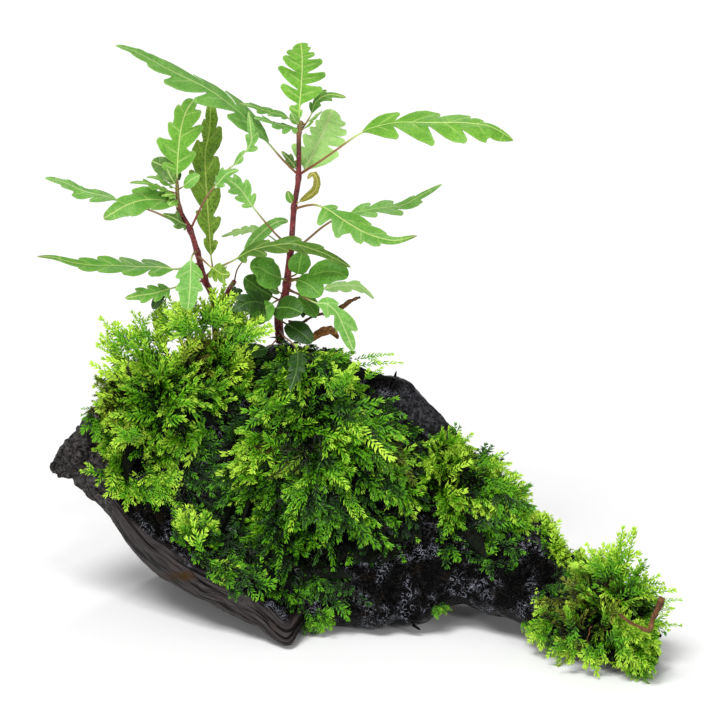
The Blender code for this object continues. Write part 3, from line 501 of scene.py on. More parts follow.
def wood_finish(settings):
    """Matte streaked grain on the lip, rough grey on the shoulder and wet black bumps inside, with thin pale lines
    painted into the wet colour as painted glints.
    """
    paint = Paint("wet_driftwood")
    place = paint.object_place()
    flow = paint.node("ShaderNodeUVMap", {"uv_map": "flow"})
    dry = paint.stored("dry")
    shoulder = paint.stored("shoulder")
    rust = paint.stored("rust")
    wave = paint.grain(flow, 5, 2)
    bent = paint.node("ShaderNodeVectorMath", {"operation": "MULTIPLY_ADD"}, {0: wave, 1: (0, 0.03, 0), 2: flow})
    streaks = paint.grain(paint.stretched(bent, (3.0, 110, 1)), 1, 3, 0.55)
    fine = paint.grain(paint.stretched(bent, (9, 330, 1)), 1, 3, 0.65)
    mottle = paint.grain(place, 140, 4, 0.6)
    speck = paint.grain(place, 900, 2, 0.7)
    dark_lip = tuple(0.08 * c for c in settings.lip_colour)
    pale_lip = tuple(2.2 * c for c in settings.lip_colour)
    lip = paint.colours(paint.mask(fine, 0.42, 0.66) * 0.75, settings.lip_colour, pale_lip)
    lip = paint.colours(paint.mask(fine, 0.45, 0.32) * 0.8, lip, dark_lip)
    lip = paint.colours(paint.mask(streaks, 0.49, 0.4) * 0.95, lip, dark_lip)
    lip = paint.colours(paint.mask(mottle, 0.5, 0.75) * 0.35, lip, (0.05, 0.03, 0.025))
    pits = paint.grain(place, 620, 4, 0.7, 0.6)
    pitted = paint.colours(paint.mask(pits, 0.38, 0.58), dark_lip, (0.06, 0.053, 0.053))
    pitted = paint.colours(paint.mask(pits, 0.56, 0.72) * 0.8, pitted, (0.15, 0.145, 0.15))
    lip = paint.colours(paint.stored("knob"), lip, pitted)
    wet = paint.colours(paint.mask(speck, 0.55, 0.75) * 0.5, settings.wet_colour, (0.006, 0.0055, 0.006))
    wet = paint.colours(paint.mask(mottle, 0.55, 0.7) * 0.4, wet, (0.016, 0.010, 0.006))
    # Painted highlight: thin wavy blue-grey lines in the wet colour stand for the lamps' glints on the wet wood.
    glint_lines = abs(paint.grain(place, 330, 2, 0.5, 1.5) - 0.5)
    painted_glints = paint.mask(glint_lines, 0.03, 0.012) * paint.mask(paint.grain(place, 90, 2), 0.47, 0.62)
    wet = paint.colours(painted_glints * 0.9, wet, (0.2, 0.21, 0.25))
    grey = paint.colours(paint.mask(pits, 0.4, 0.66), (0.005, 0.005, 0.006), (0.05, 0.05, 0.055))
    colour = paint.colours(shoulder, wet, grey)
    colour = paint.colours(dry, colour, lip)
    moss_stain = paint.colours(paint.mask(speck, 0.45, 0.6), (0.06, 0.02, 0.006), (0.03, 0.034, 0.008))
    colour = paint.colours(rust, colour, moss_stain)
    matte = dry + shoulder * 0.7
    roughness = paint.mask(matte, 0, 1) * 0.5 + 0.05 + paint.mask(mottle, 0.5, 0.65) * 0.15
    wetness = 1.0 - paint.mask(matte, 0, 1)
    folds = abs(paint.grain(place, 260, 2, 0.5, 1.2) - 0.5)
    inside = paint.raised(paint.mask(folds, 0.0, 0.12) * wetness, 0.0006)
    inside = paint.raised(paint.grain(place, 700, 1, 0.6, 1.0) * wetness, 0.0006, 1.0, inside)
    inside = paint.raised(pits * (1.0 - wetness), 0.0005, 1.0, inside)
    grain_bump = paint.raised(streaks * 0.6 + fine * 0.4, 0.0008, 0.8, inside)
    return paint.finish(colour, roughness, grain_bump, Specular_IOR_Level=0.05)


def splinters(wood):
    """Thin splinters that leave the wood where a viewer sees them."""
    tree = BVHTree.FromPolygons([v.co for v in wood.data.vertices], [p.vertices[:] for p in wood.data.polygons])
    pieces = []
    for points, radii in SPLINTERS:
        eye = seen(*points[0], EYE_DEPTH)
        foot = tree.ray_cast(eye, LOOKING)[0]
        if foot is None:
            continue
        depth = foot.y / MM + MIDDLE_DEPTH
        line = [seen(*point, depth) for point in points]
        part = tube("splinter", line, [radius * MM for radius in radii], steps=4)
        part.data.materials.append(wood.data.materials[0])
        pieces.append(part)
    return pieces


def build_wood(settings):
    """The whole wood as one grown surface over its three solids."""
    copies = [new_piece(name + "_copy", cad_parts[name].data.copy()) for name in WOOD_NODES]
    piece = joined("driftwood", copies)
    weld(piece)
    mesh = piece.data
    for face in mesh.polygons:
        face.select = all(at_joint(mesh.vertices[i].co.x) for i in face.vertices)
    bpy.ops.object.mode_set(mode="EDIT")
    bpy.ops.mesh.delete(type="ONLY_FACE")
    bpy.ops.object.mode_set(mode="OBJECT")
    for vertex in mesh.vertices:
        vertex.select = at_joint(vertex.co.x)
    bpy.ops.object.mode_set(mode="EDIT")
    bpy.ops.mesh.remove_doubles(threshold=JOINT_WELD)
    bpy.ops.object.mode_set(mode="OBJECT")
    flow_round(mesh)
    with_modifier(piece, "SUBSURF", levels=3, render_levels=3)
    along, ring = flow_at_corners(mesh)
    places = np.array([
        list(v.co + v.normal * (wood_relief(v.co, v.normal, x, r, settings) * MM))
        for v, x, r in zip(mesh.vertices, along, ring)
    ])
    places[:, 2] = np.maximum(places[:, 2], 0.0)
    move_corners(mesh, places)
    side, rise = np.array([picture_place(Vector(p)) for p in places]).T
    front = np.array([v.normal.y for v in mesh.vertices]) < 0.3
    ragged = np.array([noise.noise(Vector(p) / (9 * MM)) for p in places])
    lip = smooth_step(0.2, 1.4, ring) * (1 - smooth_step(4.0, 4.5, ring + 0.3 * ragged))
    lip *= 1 - smooth_step(-27 * MM, -21 * MM, along)
    knob = 1 - smooth_step(-102 * MM, -95 * MM, along + 6 * MM * ragged)
    back = smooth_step(16, 18, ring)
    point_values(mesh, "knob", knob)
    point_values(mesh, "dry", np.clip(np.maximum(np.maximum(lip, knob), 0.6 * back), 0, 1))
    crest = smooth_step(10.5, 12.5, ring) * (1 - smooth_step(17, 19, ring)) * smooth_step(0, 12 * MM, along)
    point_values(mesh, "shoulder", crest * smooth_step(-0.5, 0.2, ragged))
    spot = np.hypot((side - RUST_MIDDLE[0]) / RUST_REACH[0], (rise - RUST_MIDDLE[1]) / RUST_REACH[1])
    point_values(mesh, "rust", np.clip(1.3 - spot + ragged, 0, 1) * front)
    mesh.materials.append(wood_finish(settings))
    shade(piece, 80)
    piece = joined("driftwood", [piece, *splinters(piece)])
    settle(piece, "wet_wood", *WOOD_NODES)


class PLANT_OT_wood(bpy.types.Operator):
    """Grow the driftwood's surface over its solids"""

    bl_idname = "plant.wood"
    bl_label = "Driftwood"

    def execute(self, context):
        build_wood(context.scene.plant_wood)
        return {"FINISHED"}


# Stems and leaves

STEMS = {  # axis points as (side, rise, depth, radius), and the rises of the swollen joints
    "stem_main": (
        ((-31.6, 132, 60, 1.9), (-32.2, 142, 59, 1.8), (-29.6, 150.4, 58, 1.6), (-28.2, 161.6, 56, 1.35),
         (-27, 172.4, 54, 1.2), (-26, 185.2, 52, 1.15), (-24.2, 197.2, 51, 1.05), (-24, 214.8, 50, 0.95),
         (-22.8, 219.2, 50, 0.8)), (155, 168, 185.2, 197.2, 215.5)),
    "stem_left": (
        ((-57.2, 129, 62, 1.5), (-58.4, 147.2, 58, 1.4), (-62, 156.4, 54, 1.25), (-64.8, 167.2, 52, 1.15),
         (-67.6, 176, 50, 1.1), (-72, 184.8, 48, 1.0), (-72.8, 195, 47, 0.7)), (156, 167.2, 176, 184.8)),
    "stem_short": (((-52.4, 130, 64, 1.2), (-53.6, 146.8, 62, 1.1), (-50, 155.6, 60, 1.0)), (146.8,)),
}
UP = (0, -0.24, 1)
FRONT = (0, -1, 0.35)
SLOPING = (0, -0.75, 0.7)
# Leaves: kind, how many points of the middle line are stalk, half the blade's width in millimetres, lobes a
# side, how deep they are cut, the way the face looks, and the middle line as (side, rise, depth).
LEAVES = {
    "leaf_main_top": ("bright", 1, 9.6, 5, 0.62, FRONT,
        ((-22.8, 219.2, 50), (-24, 221, 49.5), (-22.8, 237.2, 50), (-22.8, 246.4, 49), (-23.4, 250.8, 48))),
    "leaf_main_right_long": ("bright", 3, 9, 6, 0.55, (0, -0.28, 1),
        ((-24.2, 198, 51), (-14.8, 204, 46), (-6.8, 209.6, 44), (1.6, 215, 42), (14.4, 218.4, 40), (28.4, 218.8, 38),
         (41.6, 218.8, 37), (52.4, 217.2, 36), (61.6, 211.6, 35))),
    "leaf_main_left_long": ("blue", 2, 8.6, 6, 0.5, (-0.1, -0.3, 1),
        ((-24.2, 198, 51), (-30.4, 204, 48.8), (-36.5, 211, 47), (-44.4, 219.6, 45), (-51.4, 225.8, 44),
         (-61.2, 232.8, 42), (-76.8, 240.4, 40), (-88, 246.2, 38.5), (-97.2, 249.2, 37))),
    "leaf_main_top_left_upper": ("fresh", 0.9, 3.6, 3, 0.5, UP,
        ((-23.4, 217.5, 50), (-29, 221, 46.5), (-36, 223, 44), (-42.8, 225.6, 42), (-48, 226.4, 41))),
    "leaf_main_top_left_lower": ("blue", 0.7, 4.4, 3, 0.4, UP,
        ((-23.8, 216, 50), (-27, 217, 45), (-32, 218, 41), (-37, 219.5, 38), (-42, 220.4, 36))),
    "leaf_main_behind": ("pale", 1, 9, 5, 0.45, (0.1, -1, 0.5),
        ((-24.2, 198, 51), (-21.6, 200.4, 56), (-17.2, 209.2, 60), (-13.2, 217.4, 63), (-10.8, 224.4, 65))),
    "leaf_main_top_right": ("fresh", 1.2, 3, 2, 0.4, (-0.5, -0.5, 0.7),
        ((-23, 216, 50), (-19.5, 221.5, 54), (-17, 227, 56), (-12, 230, 57), (-5.2, 229.2, 58))),
    "leaf_main_curled": ("dying", 0.5, 1.7, 0, 0, (0.5, -0.8, 0.4),
        ((-26, 186, 52), (-20.8, 189.2, 46.5), (-17.6, 192, 45), (-16.8, 196, 44), (-18.4, 198.8, 44),
         (-20.6, 196.4, 43.5))),
    "leaf_main_right_drooping": ("fresh", 2.5, 7.4, 5, 0.5, (-0.1, -0.6, 0.8),
        ((-26, 184.4, 52), (-22, 185.6, 48), (-17.2, 186, 43), (-11.6, 183.6, 39), (-5.6, 179.6, 36), (2, 175.2, 33),
         (9.6, 172.4, 31), (15.6, 171.6, 30), (23.4, 173.6, 29))),
    "leaf_main_right_rising": ("blue", 3.4, 5.2, 5, 0.45, (0, -0.15, 1),
        ((-27.6, 168, 55), (-22, 171.2, 59), (-14.8, 177.2, 62), (-7.5, 181.4, 64), (2, 183.6, 65), (9.6, 184.8, 66),
         (17.2, 186, 67), (24.8, 190, 68), (33.2, 194.4, 69))),
    "leaf_main_left_low": ("blue", 3, 4.2, 3, 0.4, (-0.3, -0.6, 0.7),
        ((-27.3, 169.5, 54.5), (-32.4, 173.5, 50), (-37.2, 178.8, 47), (-42.4, 185.2, 45), (-47.6, 192.4, 46),
         (-52.8, 196, 46), (-56, 194.4, 45.5))),
    "leaf_main_pale_behind": ("pale", 2, 3, 4, 0.5, UP,
        ((-27.6, 168, 55), (-31, 170, 60), (-36.4, 174, 65), (-42, 176, 67), (-48.4, 175.6, 68), (-55.2, 173.6, 69))),
    "leaf_round_left_upper": ("round", 0.8, 5.8, 0, 0, (0, -0.85, 0.6),
        ((-28.6, 155.6, 57), (-32, 157, 52), (-36, 158.6, 48.5), (-40, 161, 46.5), (-43.6, 161, 45))),
    "leaf_round_left_lower": ("shaded", 1, 4.8, 0, 0, (0, -0.85, 0.6),
        ((-31.2, 147.6, 58.5), (-35, 149.6, 55), (-39, 152, 53), (-43, 154.8, 52), (-46, 157, 51.5))),
    "leaf_dark_lobed_left": ("dark", 1, 5.2, 3, 0.3, SLOPING,
        ((-32.2, 140.6, 59.1), (-37.6, 146, 49), (-44, 147, 42), (-50.8, 143.6, 38))),
    "leaf_round_upright": ("round", 1, 4.3, 0, 0, (0.2, -1, 0.3),
        ((-28.4, 157, 57), (-24.8, 158.8, 52.5), (-23.8, 162.6, 50.5), (-22.8, 167.4, 49.5))),
    "leaf_round_right": ("round", 1, 5, 0, 0, (0, -0.8, 0.7),
        ((-28.4, 156, 57), (-20.4, 157.6, 52), (-13.2, 159.4, 49), (-8, 159, 47), (-4.8, 156.8, 45))),
    "leaf_round_right_lower": ("round", 1, 4.8, 0, 0, (-0.2, -0.7, 0.7),
        ((-28.6, 155, 57), (-24.6, 156, 51), (-19.4, 153.6, 47), (-15.2, 149.6, 44.5))),
    "leaf_round_front": ("shaded", 1, 5.2, 0, 0, (0.15, -0.8, 0.6),
        ((-32.2, 143, 59), (-33.6, 144.6, 51), (-28.4, 145, 45), (-22.8, 142.8, 41))),
    "leaf_pale_right_thin": ("pale", 2, 3, 3, 0.3, (0, -0.4, 0.9),
        ((-28.2, 157, 57), (-20, 154, 61), (-14.4, 152.6, 63), (-10, 153.6, 64), (-4.8, 154, 65), (0.4, 153.2, 66),
         (6, 148.6, 67))),
    "leaf_lobed_drooping": ("blue", 3, 5, 4, 0.5, (0.2, -0.9, 0.5),
        ((-29.4, 152.4, 58), (-24.6, 150.6, 51), (-21, 148.6, 44), (-17, 146.8, 39), (-12.8, 146.4, 37),
         (-8.8, 142.6, 36), (-6.4, 137.6, 35), (-4, 132.2, 34.5), (-2.2, 127.6, 34))),
    "leaf_dark_front": ("dark", 1, 4.2, 0, 0, SLOPING,
        ((-32, 140, 59.2), (-29, 138.4, 51), (-24, 135.4, 46), (-18.8, 131, 43))),
    "leaf_dark_hanging": ("dark", 3, 3.5, 4, 0.45, FRONT,
        ((-32.4, 137, 59.3), (-30, 133.4, 48), (-27, 131, 37), (-24.6, 127, 26), (-25, 120, 16), (-27.6, 111.6, 10))),
    "leaf_dark_long": ("dark", 2, 2.9, 0, 0, SLOPING,
        ((-31.8, 135, 59.6), (-33.5, 131.8, 50), (-37, 128.6, 44), (-42, 128, 40), (-46.4, 129.2, 38))),
    "leaf_left_top": ("bright", 1, 8.8, 5, 0.48, FRONT,
        ((-72.8, 195, 47), (-72.8, 198.5, 46.5), (-72.2, 208, 46), (-71.2, 216, 45), (-69.2, 223, 44.5),
         (-66, 228, 44))),
    "leaf_left_folded_behind": ("soft", 0.4, 4.2, 0, 0, (0.3, -0.9, 0.4),
        ((-72.8, 194, 47), (-74.4, 197.6, 50.5), (-77.4, 201, 52.5), (-83, 203.6, 54))),
    "leaf_left_thin_tip": ("fresh", 1, 2.6, 2, 0.3, UP,
        ((-72.6, 190.5, 47.4), (-77, 192, 43), (-84, 194.5, 40), (-91.6, 194.8, 38))),
    "leaf_left_small_right": ("blue", 1, 2.6, 0, 0, (0.1, -0.7, 0.7),
        ((-72.7, 192, 47.2), (-70, 193.6, 43.5), (-67, 196, 41), (-63.6, 197.8, 40))),
    "leaf_left_wide": ("fresh", 0.6, 6.2, 4, 0.4, (-0.1, -0.6, 0.8),
        ((-72, 184.8, 48), (-75.6, 187.2, 44), (-84.4, 188, 40.5), (-90.8, 186.8, 38), (-97.2, 183.6, 36),
         (-102, 180.4, 35))),
    "leaf_left_long_thin": ("blue", 5, 4.6, 4, 0.4, (0, -0.2, 1),
        ((-67.6, 176, 50), (-70.5, 177.8, 54), (-76.4, 180.8, 57), (-83.6, 184, 59), (-91.6, 186.4, 60),
         (-97.2, 188, 61), (-103.6, 190, 62), (-110, 191.6, 63), (-117.6, 194.8, 64), (-126, 196.8, 65))),
    "leaf_left_small_pale": ("soft", 0.3, 3.2, 2, 0.3, SLOPING,
        ((-68.6, 178, 49.6), (-71.4, 179, 45), (-75, 181, 42.5), (-78.6, 182.4, 41.5))),
    "leaf_left_twisted": ("blue", 4, 4.2, 4, 0.4, (0.4, -0.8, 0.4),
        ((-67.6, 176, 50), (-62.4, 186.8, 44), (-58, 193.2, 41), (-53, 199.5, 39), (-50, 202, 38), (-46.4, 206, 37),
         (-43, 211, 36), (-43.2, 216, 35), (-44, 223.2, 34))),
    "leaf_left_speckled": ("speckled", 2, 4.5, 5, 0.3, FRONT,
        ((-62, 157, 54), (-59, 160.6, 57.6), (-59.4, 166, 59), (-60, 176, 60), (-61, 190, 61), (-61.6, 206, 62),
         (-60, 215.2, 63), (-59.2, 228, 64))),
    "leaf_left_long_low": ("fresh", 2.2, 5.6, 6, 0.4, UP,
        ((-63.4, 163, 53), (-68, 161.5, 48), (-73.2, 160.4, 46), (-79.6, 161.2, 45), (-88.4, 161.2, 43),
         (-96.8, 161.6, 42), (-105.6, 161.6, 41), (-114.4, 162.8, 40), (-122.8, 165.2, 39), (-128.8, 165.6, 38.5))),
    "leaf_left_front_drooping": ("blue", 2, 5.6, 4, 0.25, FRONT,
        ((-64.8, 167.2, 52), (-66, 167, 47), (-67.2, 164, 42), (-67.4, 157.6, 38), (-67.8, 150.4, 35),
         (-68.4, 144, 34))),
    "leaf_left_olive_curled": ("speckled", 2, 4.4, 3, 0.3, (0.2, -0.7, 0.7),
        ((-64.8, 166, 52), (-62.4, 164, 46.5), (-58.8, 160.8, 44), (-55, 158.4, 42), (-51.6, 158.4, 41))),
    "leaf_left_brown_tipped": ("fresh", 2, 3.8, 3, 0.4, SLOPING,
        ((-61.8, 156, 54), (-68, 154.4, 49.5), (-75.6, 152.6, 46), (-82, 150.6, 43), (-88, 149.8, 41),
         (-93.6, 148.8, 39))),
    "leaf_crossing": ("olive", 2.2, 4.8, 4, 0.4, (0, -0.45, 0.9),
        ((-62, 156.4, 54), (-56, 161, 47), (-50, 164, 45), (-44, 167.4, 43.5), (-36, 169.4, 43), (-26.4, 170.2, 42),
         (-18, 168, 42), (-11.6, 165.6, 42), (-3.2, 161.2, 42))),
    "leaf_narrow_folded": ("blue", 2, 2.6, 0, 0, (-0.3, -0.7, 0.6),
        ((-50, 155.6, 60), (-48.8, 160.4, 58.5), (-45.6, 165.2, 58), (-42.8, 171.2, 58.5), (-36.4, 177.2, 59),
         (-32, 179.6, 60), (-28.4, 179.6, 61))),
}
SMALL_LEAVES = {  # young leaves too small for a solid, in the same form, beside the leaf that they grow near
    "leaf_main_top": (
        ("fresh", 1, 1.5, 2, 0.4, UP, ((-22.6, 218, 50), (-20, 219.5, 48.5), (-17, 221.5, 48), (-14.8, 223.4, 48))),
        ("fresh", 0.5, 1.3, 0, 0, UP, ((-22.8, 216, 50), (-20.6, 217.6, 48), (-18.2, 219.6, 47))),
        ("blue", 0.5, 1.6, 0, 0, FRONT, ((-23.2, 217.5, 50), (-25.6, 220, 48), (-27.2, 222.8, 47.5))),
    ),
    "leaf_main_right_long": (
        ("soft", 0.6, 2.2, 2, 0.3, FRONT, ((-24, 198.4, 51), (-26.6, 202.6, 52), (-31, 207.6, 53))),
    ),
    "leaf_main_right_drooping": (
        ("fresh", 0.5, 1.5, 0, 0, FRONT, ((-26, 186, 52), (-27.6, 188.6, 50.5), (-28.6, 191.6, 50))),
    ),
    "leaf_left_thin_tip": (
        ("fresh", 0.5, 2.3, 2, 0.4, UP,
            ((-72.6, 192, 47.2), (-76.5, 194.4, 44.5), (-81, 196.6, 43), (-85, 197.2, 42))),
        ("bright", 0.5, 1.8, 2, 0.3, SLOPING, ((-72.7, 190, 47.4), (-75.5, 190.2, 42.5), (-79, 189.6, 40.5))),
        ("bright", 0.4, 1.9, 0, 0, SLOPING, ((-72.4, 188, 47.6), (-74.4, 187.6, 42.8), (-76.6, 185.6, 41))),
        ("soft", 0.4, 2.2, 2, 0.3, FRONT, ((-72.8, 193.5, 47), (-75.2, 197, 45.5), (-76.8, 200.6, 45))),
    ),
    "leaf_left_twisted": (
        ("blue", 0.7, 3.2, 2, 0.35, SLOPING,
            ((-59.5, 191.4, 42), (-56.4, 194.6, 39.5), (-52.6, 198.4, 38), (-48, 200, 37))),
    ),
    "leaf_left_brown_tipped": (
        ("dark", 0.6, 2, 0, 0, SLOPING, ((-76, 152, 46), (-80, 148.6, 45), (-82.6, 144.4, 44))),
    ),
    "leaf_round_left_upper": (
        ("soft", 0.7, 2, 0, 0, SLOPING, ((-31, 150.5, 58), (-33, 152, 54), (-36.5, 153.4, 52))),
        ("round", 1, 4.2, 0, 0, SLOPING, ((-30.4, 149, 58), (-35, 146.6, 50), (-39.6, 142.4, 46), (-42, 138, 44))),
    ),
    "leaf_round_right": (
        ("round", 1, 3.6, 0, 0, SLOPING, ((-29, 153, 58), (-24, 150, 55), (-20, 146, 53), (-17, 141.5, 52))),
        ("dark", 1, 3.6, 2, 0.3, SLOPING, ((-31, 146, 59), (-27, 146.4, 57), (-22, 145, 56), (-17, 141, 55))),
    ),
    "leaf_dark_long": (
        ("round", 1, 3.8, 2, 0.3, SLOPING, ((-57.5, 140, 60), (-53, 141, 52), (-48.5, 139.6, 47), (-45.5, 136, 45))),
        ("dark", 0.7, 3, 2, 0.3, SLOPING, ((-54, 150, 61), (-50, 150.6, 56), (-46.8, 148, 54))),
        ("dark", 0.6, 3, 0, 0, SLOPING, ((-58.4, 146, 58), (-60, 143.6, 52), (-61, 139, 49))),
    ),
}
LEAF_SLOTS = {
    "bright": "leaf_bright", "fresh": "leaf_bright", "olive": "leaf_bright", "blue": "leaf_blue_green",
    "round": "leaf_deep", "shaded": "leaf_deep", "dark": "leaf_deep", "pale": "leaf_pale", "soft": "leaf_pale",
    "speckled": "leaf_speckled", "dying": "leaf_dying",
}
# Colours on a screen, from 0 to 255: the blade, its darker parts, its veins and its underside.
LEAF_COLOURS = {
    "bright": ((122, 178, 60), (72, 132, 34), (186, 210, 124), (156, 196, 112)),
    "fresh": ((112, 166, 64), (66, 126, 38), (172, 194, 112), (142, 186, 104)),
    "olive": ((92, 132, 46), (50, 86, 24), (146, 168, 88), (120, 154, 72)),
    "blue": ((128, 182, 82), (76, 136, 50), (170, 196, 124), (148, 188, 112)),
    "round": ((94, 156, 48), (48, 104, 24), (128, 172, 74), (108, 156, 66)),
    "pale": ((170, 212, 122), (130, 184, 92), (196, 212, 148), (170, 198, 130)),
    "soft": ((100, 140, 64), (66, 108, 38), (176, 200, 120), (156, 192, 112)),
    # Shaded and dark: darker greens for the low leaves that sit in the shade of the leaves above, which is painted
    # shade; shaded is a darker copy of the round leaves' green.
    "shaded": ((70, 112, 34), (34, 72, 16), (104, 146, 62), (84, 120, 52)),
    "dark": ((46, 84, 26), (18, 42, 10), (76, 108, 44), (58, 90, 38)),
    "speckled": ((118, 158, 46), (76, 112, 26), (166, 186, 84), (128, 156, 62)),
    "dying": ((150, 156, 60), (112, 96, 36), (190, 184, 96), (150, 130, 60)),
}
STALK_COLOURS = ((116, 42, 38), (134, 104, 62))  # near the stem and near the blade
SPECKLES, BURNT_TIP = (52, 34, 20), (96, 66, 34)
STEM_COLOURS = {"red": (84, 28, 32), "light": (126, 50, 52), "speck": (190, 150, 130), "green": (120, 130, 66),
                "hair": (206, 180, 160)}
HAIR_LENGTHS, HAIR_HALF_WIDTH = (0.4, 1.0), 0.06  # in millimetres
JOINT_REACH = 1.3  # how far a swollen joint reaches along its stem, in millimetres
ROOTED = 1.5  # how far a stem starts below its solid's lowest corner, in millimetres
# Edges of the blades with their own shape, from base to tip: lobe tip, notch, lobe tip and so on, then the
# fullest place of the pointed end. Each place is two numbers, in hundredths of the length and of half the width.
EDGES = {  # the side that lies left when seen from the base with the face up, then the right side
    "leaf_main_top": (
        (13, 42, 17, 10, 38, 84, 35, 13, 63.5, 98, 58.5, 25, 81, 77, 74.5, 25, 93, 58, 87, 24, 102, 42),
        (10, 12, 17, 8, 38, 88, 42, 17, 55, 98, 57.5, 22, 73.5, 84, 76.5, 21, 84, 53, 86.5, 27, 93, 38, 94.5, 27, 102,
         30)),
    "leaf_left_top": (
        (13, 70, 12, 10, 43, 100, 43, 33, 63, 60, 70, 43, 85, 44, 90, 34, 100, 30),
        (30, 78, 34.5, 36, 67, 90, 63, 45, 93, 55, 91, 28, 102, 26)),
    "leaf_main_behind": (
        (26, 100, 30, 45, 47, 74, 50, 42, 62, 64, 65, 42, 77, 52, 79, 38, 97, 42),
        (44, 105, 47, 42, 63, 105, 65, 55, 75, 95, 77, 58, 86, 76, 88, 55, 97, 44)),
    "leaf_main_left_long": (
        (30, 86, 26, 24, 51, 100, 45, 24, 70, 92, 66.5, 38, 81, 52, 81.5, 40, 91, 33, 91.5, 27, 96, 20),
        (33, 92, 25.5, 17, 52.5, 97, 48, 40, 72, 60, 72.5, 50, 81.5, 38, 82, 33, 88, 30, 88.5, 25, 95, 20)),
    "leaf_main_right_long": (
        (24, 68, 21.5, 12, 50, 78, 45, 28, 69.5, 52, 67, 30, 78, 28, 80, 20, 90, 20),
        (25, 102, 21.5, 33, 47.5, 120, 43.5, 27, 69, 105, 65, 50, 84, 90, 85, 72, 94, 60)),
    "leaf_main_right_drooping": (
        (12, 45, 13, 25, 50, 62, 34, 30, 68, 36, 70, 26, 86, 20),
        (8, 105, 14, 35, 29, 105, 36, 42, 50, 66, 53, 50, 66, 45, 70, 30, 86, 20)),
    "leaf_main_right_rising": (
        (23, 90, 21, 40, 47, 85, 46, 42, 70, 50, 71, 40, 90, 35),
        (27, 95, 21, 35, 53, 90, 48, 35, 75, 70, 74, 50, 90, 35)),
    "leaf_crossing": (
        (30, 60, 33, 45, 55, 60, 57, 48, 74, 60, 75, 45, 90, 40),
        (8, 90, 10, 35, 27, 95, 24, 40, 46, 95, 42, 50, 62, 75, 64, 55, 90, 40)),
    "leaf_left_wide": (
        (40, 85, 44, 74, 70, 85, 73, 72, 96, 50),
        (17, 120, 24, 60, 52, 110, 58, 66, 75, 80, 79, 62, 96, 50)),
    "leaf_left_long_thin": (
        (34, 100, 29, 55, 58, 95, 57, 60, 76, 60, 76.5, 50, 90, 40),
        (33, 95, 33, 70, 50, 90, 51, 72, 70, 75, 71, 60, 90, 40)),
    "leaf_left_long_low": (
        (20, 105, 16.5, 22, 38.5, 100, 33, 40, 56, 90, 53, 55, 70, 62, 69, 45, 84, 34),
        (21.5, 95, 19, 25, 39, 98, 36, 30, 55, 90, 52, 48, 69, 66, 68, 50, 86, 34)),
    "leaf_left_twisted": (
        (30, 10, 36, 12, 62, 50, 70, 36, 92, 25),
        (20, 10, 30, 12, 43, 80, 45, 35, 62, 62, 70, 42, 92, 25)),
    "leaf_left_speckled": (
        (11, 50, 13, 35, 29, 98, 30, 50, 55, 130, 52, 80, 73, 85, 73, 40, 88, 52, 90, 46, 97, 40),
        (9, 65, 13, 35, 24, 105, 25, 45, 43, 110, 46, 75, 64.5, 98, 60, 40, 84, 92, 88.5, 72, 97, 50)),
    "leaf_lobed_drooping": (
        (30, 60, 33, 40, 75, 90, 70, 42, 93, 50),
        (33, 88, 37, 30, 62, 66, 65, 50, 92, 50)),
    "leaf_left_front_drooping": (
        (35, 85, 40, 62, 60, 90, 68, 60, 97, 50),
        (37, 105, 43, 75, 63, 100, 70, 78, 97, 60)),
}
TWIST = {"leaf_left_twisted": 0.9, "leaf_main_behind": 0.2, "leaf_left_front_drooping": -0.2}
BASE_REACH = 0.07  # how wide a blade starts, as a share of half its width
OUTER_STEPS, TIP_STEPS, INNER_STEPS, END_STEPS = 7, 4, 6, 14  # rows along a lobe's sides, its tip and the end
HALF_COLUMNS = 7  # faces between the midrib and the edge
FRAME_STEPS = 120
STALK_RADIUS = 0.6  # of the thickest stalk, in millimetres
STALK_STEPS = 16
MIDRIB_END = 0.93  # the share of a blade that its midrib reaches
FULL_RIPPLE = 8  # half the width, in millimetres, of a blade with full ripples
PLAIN_RIPPLE = 0.4  # the ripple of a blade without lobes


def screen(*levels):
    """A colour from its levels on a screen, from 0 to 255."""
    shares = [level / 255 for level in levels]
    return tuple(s / 12.92 if s < 0.04 else ((s + 0.055) / 1.055) ** 2.4 for s in shares)


def bezier(points, t):
    """Places on a curve that its control points pull; t is an array."""
    points = np.array(points, float)
    t = t[:, None]
    while len(points) > 1:
        points = [a * (1 - t) + b * t for a, b in zip(points, points[1:])]
    return points[0]


def common_edge(lobes, cut, side, rng):
    """The edge of a leaf without a shape of its own: even lobes that get smaller towards the tip."""
    if not lobes:
        return ((0.62, 0.98),)
    corners = []
    for k in range(lobes):
        tip = (k + 0.8 + rng.uniform(-0.1, 0.1) + 0.12 * side) / (lobes + 0.9)
        reach = math.sin(math.pi * (0.25 + 0.6 * tip)) ** 0.7 * rng.uniform(0.88, 1.08)
        corners += [(tip, reach), (tip + rng.uniform(-0.02, 0.01), reach * (1 - cut) * rng.uniform(0.8, 1))]
    return (*corners, (0.95, 0.34))


